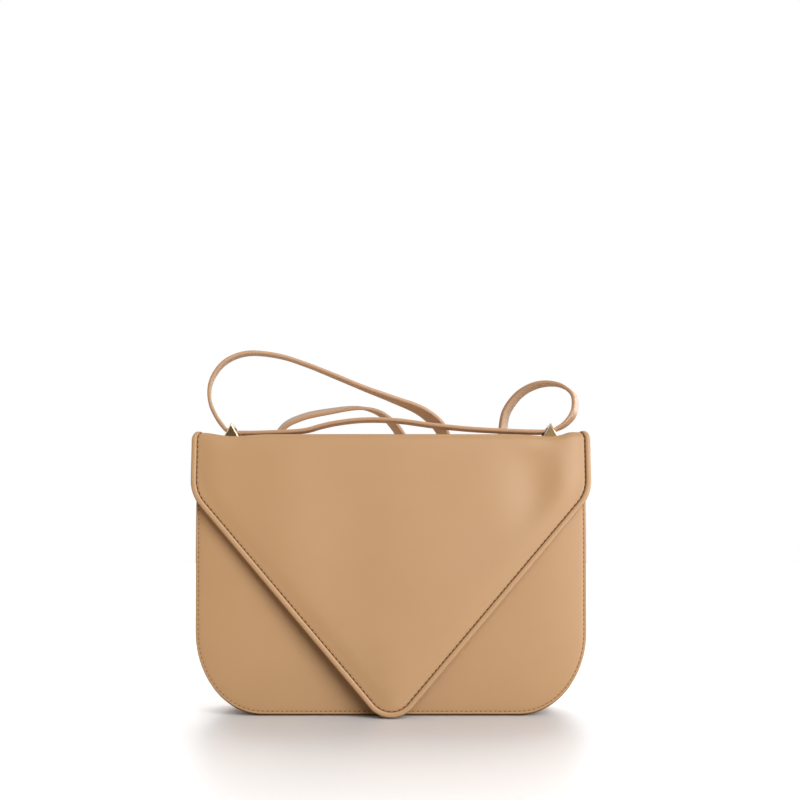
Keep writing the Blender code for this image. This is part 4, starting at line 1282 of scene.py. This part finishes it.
# The strap's legs between the buckle's two ends: what a leg's X and Y are counted from, then its
# points as X, Y, height over the flap's top and roll about the run in degrees
STRAP_LEGS = (
    # Up behind the left half of the bag
    (-RING_X, BUCKLE_Y, (
        (31.0, 0.0, -176.6, 0), (20.0, -1.0, -168.0, 0), (11.0, -6.0, -147.0, 0),
        (7.0, -16.0, -121.0, 0), (5.5, -29.0, -86.0, 4),
    )),
    (-RING_X, REAR_Y, ((9.0, 21.5, -51.0, 10), (18.5, 17.0, -17.0, 16))),
    # The low arc over the middle
    (-RING_X, REAR_Y, (
        (30.4, 15.5, 9.4, 19), (42.4, 15.5, 16.2, 19), (61.8, 15.5, 20.6, 17), (84.6, 16.8, 23.2, 8),
        (97.6, 19.0, 19.7, -4), (107.8, 19.8, 10.8, -15), (111.6, 19.6, 5.0, -19),
    )),
    # The bight behind the bag
    (-RING_X, REAR_Y, (
        (117.5, 18.4, -6.0, -20), (128.0, 15.2, -25.0, -14), (139.0, 14.5, -43.0, -8),
        (150.0, 14.5, -54.0, -6),
    )),
    (RING_X, REAR_Y, (
        (-48.5, 14.5, -57.0, -8), (-38.5, 14.5, -51.0, -12), (-31.0, 14.5, -36.0, -17),
        (-27.6, 15.5, -14.0, -21),
    )),
    # The right loop
    (RING_X, REAR_Y, (
        (-27.6, 16.0, 9.0, -24), (-25.2, 11.5, 20.9, -22), (-16.4, 5.5, 32.0, -14),
        (-4.0, 0.5, 37.3, -5), (9.2, -3.5, 36.0, 8), (17.3, -7.5, 28.6, 18), (17.2, -10.5, 17.6, 20),
    )),
    # Through both rings
    (RING_X, 0.0, (
        (11.0, 0.0, 9.2, 10), (4.8, 0.0, 5.4, 2), (0.0, 0.0, 3.7, 0), (-7.0, 0.0, 3.4, 0),
        (-32.0, 0.0, 4.2, 0), (-53.0, 0.0, 5.4, 0), (-78.0, 0.0, 7.9, 0), (-101.0, 0.0, 10.9, 0),
    )),
    (-RING_X, 0.0, (
        (86.0, 0.0, 11.4, 0), (68.0, 0.0, 9.3, 0), (58.5, 0.0, 7.2, 0), (48.0, 0.0, 4.4, 0),
        (22.0, 0.0, 2.9, 0), (6.0, 0.0, 2.7, 0), (0.0, 0.0, 2.9, 0), (-3.8, 0.0, 4.3, 2),
        (-6.6, 0.0, 7.2, 5),
    )),
    # The tall left loop
    (-RING_X, 0.0, (
        (-10.9, -1.5, 13.4, 6), (-14.9, -3.0, 23.2, 8), (-14.9, -3.0, 34.0, 8), (-11.3, -2.0, 42.9, 7),
        (-5.4, -1.0, 49.8, 6), (3.0, 1.0, 54.6, 5), (12.3, 3.0, 56.6, 4), (30.4, 7.0, 55.2, 3),
        (48.8, 11.0, 49.9, 2), (67.4, 15.0, 43.0, 0), (86.2, 19.5, 35.8, -1),
    )),
    (-RING_X, REAR_Y, (
        (105.2, 11.5, 29.2, -6), (122.6, 15.5, 22.9, -15), (130.2, 17.0, 18.5, -21),
        (136.3, 18.5, 13.4, -26), (140.7, 20.0, 7.6, -28),
    )),
    # Down behind the right half and back to the buckle
    (-RING_X, REAR_Y, (
        (149.0, 24.0, -16.0, -26), (158.5, 29.5, -48.0, -18), (164.0, 33.0, -82.0, -10),
        (166.0, 38.0, -117.0, -4), (163.0, 45.0, -144.0, 0),
    )),
    (-RING_X, BUCKLE_Y, ((155.0, -8.0, -164.0, 0), (143.0, -2.0, -175.0, 0))),
)


def strap_route():
    """The strap's centre line: X, Y, Z, thickness and roll about its run, in degrees.

    It starts at the turned-under end, wraps the buckle's bar, climbs behind the bag, arcs over
    its top, hangs in a bight, loops up on the right, runs through both rings, loops up on the
    left, drops behind the bag again and ends at the tip on top of the buckle.
    """
    full = STRAP_THICK
    low = STACK_FLOOR + full / 2.0
    turned = STACK_FLOOR + SKIVED / 2.0
    second = STACK_FLOOR + SKIVED + GAP + full / 2.0
    bar_top = BAR_Z + FOLD_RADIUS
    under = KEEPER_LIFT + full / 2.0
    start = [(x, turned, SKIVED) for x in (RETURN_END_X, BUCKLE_X - 9.0, BUCKLE_X - 4.0)]
    for turn in np.radians(np.linspace(-90.0, 90.0, 9)):
        x, z = FOLD_RADIUS * math.cos(turn), FOLD_RADIUS * math.sin(turn)
        start.append((BUCKLE_X + x, BAR_Z + z, SKIVED))
    start += [(BUCKLE_X - 4.0, bar_top - 0.7, SKIVED + 0.2), (BUCKLE_X - 9.0, second + 0.3, full - 0.2)]
    start += [(BUCKLE_X - 15.0, second, full), (RETURN_END_X, second, full)]
    start += [(RETURN_END_X - 4.5, low + 0.35, full), (SLIDING_KEEPER_X, low, full)]
    start += [(STRAP_TIP_X + 10.0, low, full), (STRAP_TIP_X, low, full)]
    end = [
        (BUCKLE_X + 30.0, under + 0.9), (BUCKLE_X + 19.0, under + 0.5), (BUCKLE_X + 14.0, under + 0.7),
        (BUCKLE_X + 10.5, BAR_Z - 1.2), (BUCKLE_X + 7.5, BAR_Z + 1.1), (BUCKLE_X + 4.5, BAR_Z + 3.4),
        (BUCKLE_X + 2.0, bar_top + 2.0), (BUCKLE_X - 1.0, bar_top + 2.4), (BUCKLE_X - 4.5, bar_top + 1.9),
        (BUCKLE_X - 9.0, second + full + 1.1), (BUCKLE_X - 15.0, second + full + GAP),
        (RETURN_END_X, second + full + GAP), (RETURN_END_X - 4.5, low + full + GAP + 0.35),
        (SLIDING_KEEPER_X, low + full + GAP), (STRAP_TIP_X + 10.0, low + full + GAP),
        (STRAP_TIP_X, low + full + GAP),
    ]
    route = [(x, BUCKLE_Y, z, thick, 0.0) for x, z, thick in start]
    for from_x, from_y, leg in STRAP_LEGS:
        route += [(from_x + x, from_y + y, FLAP_TOP + z, full, roll) for x, y, z, roll in leg]
    route += [(x, BUCKLE_Y, z, full, 0.0) for x, z in end]
    return np.array(route)


def smooth_route(points, spacing):
    """Points at even steps on the smooth curve through the route (Catmull-Rom on chord length)."""
    step = np.linalg.norm(np.diff(points[:, :3], axis=0), axis=1) ** 0.5
    knot = np.concatenate([[0.0], np.cumsum(step)])
    slope = np.gradient(points, knot, axis=0)
    fine = np.concatenate([np.linspace(a, b, 12, endpoint=False) for a, b in zip(knot[:-1], knot[1:])])
    fine = np.append(fine, knot[-1])
    place = np.clip(np.searchsorted(knot, fine, side="right") - 1, 0, len(knot) - 2)
    width = (knot[place + 1] - knot[place])[:, None]
    t = ((fine - knot[place])[:, None]) / width
    leave, arrive = slope[place] * width, slope[place + 1] * width
    curve = (2 * t**3 - 3 * t**2 + 1) * points[place] + (t**3 - 2 * t**2 + t) * leave
    curve += (-2 * t**3 + 3 * t**2) * points[place + 1] + (t**3 - t**2) * arrive
    travelled = distances(curve[:, :3])
    count = int(round(travelled[-1] / spacing))
    even = np.linspace(0.0, travelled[-1], count + 1)
    return np.stack([np.interp(even, travelled, column) for column in curve.T], 1)


def strap_section():
    """The strap's section: across in mm, height as a share of half the thickness, and its masks.

    It is a flat rectangle with round painted edges.
    """
    corner = 0.7
    flat = STRAP_WIDTH / 2.0 - corner
    upper = [(-3.5, 1.0, 0.0), (0.0, 1.02, 0.0), (3.5, 1.0, 0.0)]
    turn = np.radians([60.0, 35.0, 12.0, -12.0, -35.0, -60.0])
    edge = [(flat + corner * math.cos(a), math.sin(a), 0.12) for a in turn]
    right = [(flat, 1.0, 0.0), *edge, (flat, -1.0, 0.0)]
    lower = [(a, -b, s) for a, b, s in upper[::-1]]
    left = [(-a, b, s) for a, b, s in right[::-1]]
    wide, high, shade = np.array(upper + right + lower + left).T
    return wide, high, {"shade": shade, "inner": (high < -0.8).astype(float)}


def strap_frame(spacing):
    """Centres, directions across and outwards, and thickness along the strap."""
    route = smooth_route(strap_route(), spacing)
    centre, thick, roll = route[:, :3], route[:, 3], np.radians(route[:, 4])
    along = unit(np.gradient(centre, axis=0))
    across = unit(np.array([0.0, 1.0, 0.0]) - along * along[:, 1:2])
    normal = np.cross(along, across)
    turned = across * np.cos(roll)[:, None] + normal * np.sin(roll)[:, None]
    return centre, turned, np.cross(along, turned), thick


def cutter(name, x, z, half, round_off):
    """A cutter for a round-cornered hole in the strap, from its reach in X and in Z and half its Y."""
    low = np.array([x[0], BUCKLE_Y - half])
    high = np.array([x[1], BUCKLE_Y + half])
    loop = rounded_loop(*(high - low) / 2.0, round_off, 6)
    rows = [np.stack([*((high + low) / 2.0 + loop).T, np.full(len(loop), level)], 1) for level in z]
    return add_object(name, make_mesh(name, np.stack(rows), tube_faces(2, len(loop))))


def rounded_loop(half_a, half_b, radius, steps):
    """A rectangle with round corners, anticlockwise, as a closed loop of points."""
    turn = np.linspace(0.0, math.pi / 2.0, steps)
    points = []
    for quarter, (a, b) in enumerate(((1, 1), (-1, 1), (-1, -1), (1, -1))):
        angle = turn + quarter * math.pi / 2.0
        corner = np.array([a * (half_a - radius), b * (half_b - radius)])
        points.append(corner + radius * np.stack([np.cos(angle), np.sin(angle)], 1))
    return np.concatenate(points)


def cut_holes(piece, cutters):
    """Takes the cutters' shapes out of a piece and removes them."""
    for tool in cutters:
        settle(piece.modifiers.new(tool.name, "BOOLEAN"), operation="DIFFERENCE", object=tool)
    bpy.context.view_layer.update()
    evaluated = piece.evaluated_get(bpy.context.evaluated_depsgraph_get())
    mesh = bpy.data.meshes.new_from_object(evaluated)
    old = piece.data
    piece.modifiers.clear()
    piece.data = mesh
    bpy.data.meshes.remove(old)
    for tool in cutters:
        bpy.data.objects.remove(tool, do_unlink=True)


def strap_cuts(centre):
    """Where the strap is parted: the right loop's two feet, past the left ring and at its far foot."""
    feet = ((RING_X - 27.6, -14.0), (RING_X + 11.0, 9.2), (3.0 - RING_X, 54.6), (136.3 - RING_X, 13.4))
    cuts = [int(np.argmin(np.hypot(centre[:, 0] - x, centre[:, 2] - (FLAP_TOP + z)))) for x, z in feet]
    return [0, *cuts, len(centre) - 1]


# Spacing of the strap's sections along it, in millimetres
STRAP_SPACING = 1.5


def make_strap():
    """The strap, with its holes for the prong.

    It is one length in five runs that meet face to face: the runs behind the bag stay with the body, the
    run through the rings turns with the flap's top, and the two loops between them are attached to
    neither.
    """
    centre, across, normal, thick = strap_frame(STRAP_SPACING)
    wide, high, tints = strap_section()
    from_tip = np.arange(len(centre))[::-1] * STRAP_SPACING
    rounded = 1.0 - np.clip(from_tip / (STRAP_WIDTH / 2.0), 0.0, 1.0)
    narrow = np.sqrt(np.clip(1.0 - rounded**2, 0.02, 1.0))
    points = centre[:, None] + across[:, None] * (wide[None, :, None] * narrow[:, None, None])
    points = points + normal[:, None] * (high[None, :, None] * thick[:, None, None] / 2.0)
    cuts = strap_cuts(centre)
    names = ("strap_rear", "strap_right_loop", "strap_through_rings", "strap_left_loop", "strap_end")
    runs = []
    for name, start, stop in zip(names, cuts[:-1], cuts[1:]):
        part = points[start : stop + 1]
        masks = {key: np.broadcast_to(tint, part.shape[:2]) for key, tint in tints.items()}
        runs.append(tube_piece(name + "_leather", part, "strap", masks))
        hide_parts("strap")
    punch(runs[0], runs[4])
    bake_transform(runs[1])
    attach(runs[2], "flap_top")
    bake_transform(runs[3])


def punch(rear, end):
    """Cuts the slot in the fold round the buckle's bar, the prong's hole and the two spare holes."""
    slot = PRONG_WIDTH / 2.0 + PRONG_SLOT_PLAY
    slot_corner = slot * 0.95
    reach = FOLD_RADIUS + SKIVED
    x = (BUCKLE_X - reach - 1.0, BUCKLE_X + reach)
    z = (-1.0, BAR_Z + FOLD_RADIUS + 0.75)
    cut_holes(rear, [cutter("fold_slot", x, z, slot, slot_corner)])
    crossing = BUCKLE_X + 2.0 * FOLD_RADIUS
    long = PRONG_SLOT_LENGTH / 2.0
    x = (crossing - long - PRONG_SWING_ROOM, crossing + long)
    z = (BAR_Z - FOLD_RADIUS, BAR_Z + 4.0 * FOLD_RADIUS)
    tools = [cutter("prong_hole", x, z, slot, slot_corner)]
    level = STACK_FLOOR + 1.5 * STRAP_THICK + GAP
    z = (level - STRAP_THICK / 2.0 - 0.1, level + STRAP_THICK / 2.0 + 0.3)
    for k, middle in enumerate((SLIDING_KEEPER_X - PUNCH_STEP / 2.0, SLIDING_KEEPER_X + PUNCH_STEP / 2.0)):
        x = (middle - PUNCH_RADIUS, middle + PUNCH_RADIUS)
        tools.append(cutter(f"spare_hole_{k}", x, z, PUNCH_RADIUS, PUNCH_RADIUS * 0.98))
    cut_holes(end, tools)
    for run in (rear, end):
        run.data.set_sharp_from_angle(angle=SHARP_ANGLE)
        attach(run, "bag_body")


def loop_piece(name, path, axis, section, looks):
    """A section carried round a closed path that lies square to an axis."""
    axis = np.array(axis, float)
    along = unit(np.roll(path, -1, 0) - np.roll(path, 1, 0))
    out = np.cross(along, axis)
    points = path[:, None] + out[:, None] * section[None, :, :1] + axis * section[None, :, 1:]
    rows, columns = points.shape[:2]
    points = np.concatenate([points, points[:1]])
    faces = grid_faces(rows + 1, columns, wrap=True)
    return make_piece(name, points, faces, looks)


def make_buckle():
    """The buckle's frame and prong, and the two keepers."""
    make_buckle_frame()
    make_prong()
    make_keepers()


def make_buckle_frame():
    """The buckle's frame: a rounded wire round a rounded rectangle."""
    wire = BUCKLE_WIRE / 2.0
    half = (FRAME_HIGH - FRAME_LOW) / 2.0
    middle = (FRAME_HIGH + FRAME_LOW) / 2.0
    flat = rounded_loop(half[0] - wire, half[1] - wire, 2.2, 8)
    path = np.stack([*(middle[:2] + flat).T, np.full(len(flat), BAR_Z)], 1)
    section = rounded_loop(wire, wire, wire * 0.75, 5)
    frame_loop = loop_piece("buckle_loop", path, (0, 0, 1), section, "polished")
    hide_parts("buckle_frame")
    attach(frame_loop, "bag_body")


def make_prong():
    """The prong: hooked round the bar, then along the strap and over the frame, with a taper."""
    radius = BAR_REACH + PRONG_THICK / 2.0
    turn = np.radians(np.linspace(300.0, 90.0, 25))
    hook = np.stack([BUCKLE_X + radius * np.cos(turn), BAR_Z + radius * np.sin(turn)], 1)
    rest = BAR_Z + BUCKLE_WIRE / 2.0 + GAP + PRONG_THICK / 2.0
    far = FRAME_HIGH[0] + PRONG_OVERHANG
    share = np.linspace(0.0, 1.0, 15)[1:]
    x = BUCKLE_X + (far - BUCKLE_X) * share
    z = hook[-1, 1] + (rest - hook[-1, 1]) * smooth(share * 2.0)
    line = np.concatenate([hook, np.stack([x, z], 1)])
    along = unit(np.gradient(line, axis=0))
    up = np.stack([-along[:, 1], np.zeros(len(line)), along[:, 0]], 1)
    taper = np.concatenate([np.ones(len(hook)), 1.0 - 0.45 * share**3])
    ring = rounded_loop(PRONG_WIDTH / 2.0, PRONG_THICK / 2.0, 0.5, 4)
    centre = np.stack([line[:, 0], np.full(len(line), BUCKLE_Y), line[:, 1]], 1)
    points = centre[:, None] + up[:, None] * ring[None, :, 1:]
    points = points + np.array([0.0, 1.0, 0.0]) * (ring[None, :, :1] * taper[:, None, None])
    prong = tube_piece("buckle_tongue", points, "polished")
    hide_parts("buckle_prong")
    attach(prong, "prong")


def make_keepers():
    """The fixed keeper and the loose one: flat leather loops round the strap."""
    for node, body, room in (("fixed_keeper", "bag_body", 0.0), ("sliding_keeper", "keeper", KEEPER_ROOM)):
        low, high = span(node)
        high[2] += room
        half = (high - low) / 2.0
        middle = (high + low) / 2.0
        flat = rounded_loop(half[1] - KEEPER_THICK / 2.0, half[2] - KEEPER_THICK / 2.0, 0.9, 5)
        path = np.stack([np.full(len(flat), middle[0]), *(middle[1:] + flat).T], 1)
        section = rounded_loop(KEEPER_THICK / 2.0, half[0], 0.35, 4)
        keeper = loop_piece(node + "_leather", path, (1, 0, 0), section, "strap")
        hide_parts(node)
        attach(keeper, body)


# The looks of the solids that are kept
KEPT_SOLIDS = {
    "board": ("front_board", "back_board", "base_board"),
    "nickel": (
        "left_ring_plate", "right_ring_plate", "left_front_screw", "left_rear_screw",
        "right_front_screw", "right_rear_screw", "front_magnet", "flap_magnet",
    ),
}


def finish_fixings():
    """Finishes of the solids that are kept: boards, plates, screws and magnets."""
    for look, nodes in KEPT_SOLIDS.items():
        for node in nodes:
            solid = frame["nodes"][node]
            solid.data.materials.clear()
            solid.data.materials.append(finish(look))


def stage_object(name, data, place=(0.0, 0.0, 0.0), towards=None):
    """An object of the stage, turned so that it shines from a direction where one is given."""
    made = bpy.data.objects.new(name, data)
    made.location = place
    if towards is not None:
        made.rotation_euler = Vector(towards).to_track_quat("Z", "Y").to_euler()
    bpy.context.scene.collection.objects.link(made)
    return made


def camera_rays(tree):
    """1 for what the camera sees directly and 0 for the rest, and all the kinds of ray."""
    rays = tree.add("LightPath").outputs
    return Value(tree, rays["Is Camera Ray"]), rays


def make_camera():
    """The camera, level and straight from the front, with its frame shifted upwards."""
    lens = settle(
        bpy.data.cameras.new("camera"), lens=49.14, sensor_width=36.0, sensor_fit="HORIZONTAL",
        shift_x=0.01125, shift_y=0.1825, clip_end=50.0,
    )
    camera = stage_object("camera", lens, (0.0, -0.728, 0.109))
    camera.rotation_euler = (math.pi / 2.0, 0.0, 0.0)
    bpy.context.scene.camera = camera


def make_floor(level):
    """A white floor for the camera that throws back less, and warmer, light on the bag."""
    reach = 6.0
    mesh = bpy.data.meshes.new("floor")
    corners = [(-reach, -reach, 0.0), (reach, -reach, 0.0), (reach, reach, 0.0), (-reach, reach, 0.0)]
    mesh.from_pydata(corners, [], [(0, 1, 2, 3)])
    tree = new_finish("floor")
    seen, _ = camera_rays(tree)
    white = shaded((1.0, 1.045, 1.11), level)
    dull = (0.38, 0.32, 0.26)
    plain = tree.add("BsdfDiffuse", None, {"Color": tree.mix(seen, dull, white)})
    glance = tree.mix(seen, (0.0, 0.0, 0.0), (0.25, 0.25, 0.25))
    gloss = tree.add("BsdfGlossy", None, {"Color": glance, "Roughness": 0.35})
    both = tree.add("AddShader", None, {0: plain.outputs[0], 1: gloss.outputs[0]})
    tree.add("OutputMaterial", None, {"Surface": both.outputs[0]})
    mesh.materials.append(tree.owner)
    floor = stage_object("floor", mesh)
    return floor


def make_lamps(studio, floor):
    """The softbox, a light that reaches only the floor, and a panel on the right."""
    lights = bpy.data.lights
    key = settle(lights.new("softbox", "SUN"), angle=math.radians(46.0), energy=studio.key)
    stage_object("softbox", key, towards=(0.52, -0.78, 0.50))
    ground = settle(lights.new("floor_light", "SUN"), angle=math.radians(50.0), energy=studio.ground)
    lamp = stage_object("floor_light", ground, towards=(0.0, 0.70, 0.70))
    lit = bpy.data.collections.new("floor_only")
    lit.objects.link(floor)
    lamp.light_linking.receiver_collection = lit
    side = settle(lights.new("side_panel", "AREA"), shape="DISK", size=0.4, energy=studio.side)
    stage_object("side_panel", side, (0.62, -0.40, 0.07), (0.62, -0.40, 0.0))


def make_world(studio):
    """The surround: white for the camera, and warm from above and behind for the bag.

    In reflections it is brighter on the right and behind.
    """
    world = bpy.data.worlds.new("studio")
    tree = Tree(world)
    seen, rays = camera_rays(tree)
    seen = seen.most(Value(tree, rays["Is Transmission Ray"]))
    shine = Value(tree, rays["Is Glossy Ray"])
    axes = tree.add("SeparateXYZ", None, {0: tree.place()})
    x, y, z = (Value(tree, socket) for socket in axes.outputs)
    rear = (y * 1.6 + 0.45).held()
    right = (x * 1.8 - 0.25).held() * ((1.0 - z * 2.0).held() * 2.4 + 1.1)
    around = rear * 0.7 + right + 0.10
    overhead = (z * 0.35 + y * 1.3 - 0.50).held() * studio.back
    dim = shine * around + (1.0 - shine) * (overhead + studio.ambient)
    strength = seen + (1.0 - seen) * dim
    tone = tree.mix(seen.most(shine), (1.0, 0.90, 0.79), (1.0, 1.0, 1.0))
    ground = tree.add("Background", None, {"Color": tone, "Strength": strength})
    tree.add("OutputWorld", None, {"Surface": ground.outputs[0]})
    bpy.context.scene.world = world


def make_stage():
    """The camera, the floor, the lamps and the white surround."""
    scene = bpy.context.scene
    scene.view_settings.view_transform = "Standard"
    make_camera()
    floor = make_floor(scene.bag_studio.floor)
    make_lamps(scene.bag_studio, floor)
    make_world(scene.bag_studio)


class BAG_OT_walls(bpy.types.Operator):
    """Make the front and back walls with their stitching"""

    bl_idname = "bag.walls"
    bl_label = "Walls"

    def execute(self, context):
        make_walls()
        return {"FINISHED"}


class BAG_OT_gusset(bpy.types.Operator):
    """Make the gusset and its lining"""

    bl_idname = "bag.gusset"
    bl_label = "Gusset"

    def execute(self, context):
        make_gusset()
        return {"FINISHED"}


class BAG_OT_linings(bpy.types.Operator):
    """Make the linings, the facings and the slip pocket"""

    bl_idname = "bag.linings"
    bl_label = "Linings"

    def execute(self, context):
        make_linings()
        return {"FINISHED"}


class BAG_OT_flap(bpy.types.Operator):
    """Make the flap with its edge roll, tail and stitching"""

    bl_idname = "bag.flap"
    bl_label = "Flap"

    def execute(self, context):
        make_flap()
        return {"FINISHED"}


class BAG_OT_rings(bpy.types.Operator):
    """Make the two stirrup rings"""

    bl_idname = "bag.rings"
    bl_label = "Rings"

    def execute(self, context):
        make_rings()
        return {"FINISHED"}


class BAG_OT_strap(bpy.types.Operator):
    """Make the strap with its holes"""

    bl_idname = "bag.strap"
    bl_label = "Strap"

    def execute(self, context):
        make_strap()
        return {"FINISHED"}


class BAG_OT_buckle(bpy.types.Operator):
    """Make the buckle and the keepers"""

    bl_idname = "bag.buckle"
    bl_label = "Buckle"

    def execute(self, context):
        make_buckle()
        return {"FINISHED"}


class BAG_OT_fixings(bpy.types.Operator):
    """Finish the boards, plates, screws and magnets"""

    bl_idname = "bag.fixings"
    bl_label = "Fixings"

    def execute(self, context):
        finish_fixings()
        return {"FINISHED"}


class BAG_OT_stage(bpy.types.Operator):
    """Make the camera, the floor and the light"""

    bl_idname = "bag.stage"
    bl_label = "Stage"

    def execute(self, context):
        make_stage()
        return {"FINISHED"}


OPERATORS = (
    BAG_OT_stage,
    BAG_OT_walls,
    BAG_OT_gusset,
    BAG_OT_linings,
    BAG_OT_flap,
    BAG_OT_rings,
    BAG_OT_strap,
    BAG_OT_buckle,
    BAG_OT_fixings,
)


class BAG_PT_parts(bpy.types.Panel):
    """The bag's sizes, colours and parts"""

    bl_label = "Envelope bag"
    bl_idname = "BAG_PT_parts"
    bl_space_type = "VIEW_3D"
    bl_region_type = "UI"
    bl_category = "Bag"

    def draw(self, context):
        layout = self.layout
        for group in (context.scene.bag_sizes, context.scene.bag_colours, context.scene.bag_studio):
            box = layout.box()
            for key in group.__annotations__:
                box.prop(group, key)
        for operator in OPERATORS:
            layout.operator(operator.bl_idname)


CLASSES = (BagSizes, BagColours, BagStudio, *OPERATORS, BAG_PT_parts)


def register():
    """Registers the classes and their settings."""
    for item in CLASSES:
        bpy.utils.register_class(item)
    bpy.types.Scene.bag_sizes = PointerProperty(type=BagSizes)
    bpy.types.Scene.bag_colours = PointerProperty(type=BagColours)
    bpy.types.Scene.bag_studio = PointerProperty(type=BagStudio)


def unregister():
    """Removes the settings and the classes."""
    del bpy.types.Scene.bag_studio
    del bpy.types.Scene.bag_colours
    del bpy.types.Scene.bag_sizes
    for item in reversed(CLASSES):
        bpy.utils.unregister_class(item)


def main():
    """Makes the whole bag."""
    register()
    for operator in OPERATORS:
        group, name = operator.bl_idname.split(".")
        getattr(getattr(bpy.ops, group), name)()


if __name__ == "__main__":
    main()
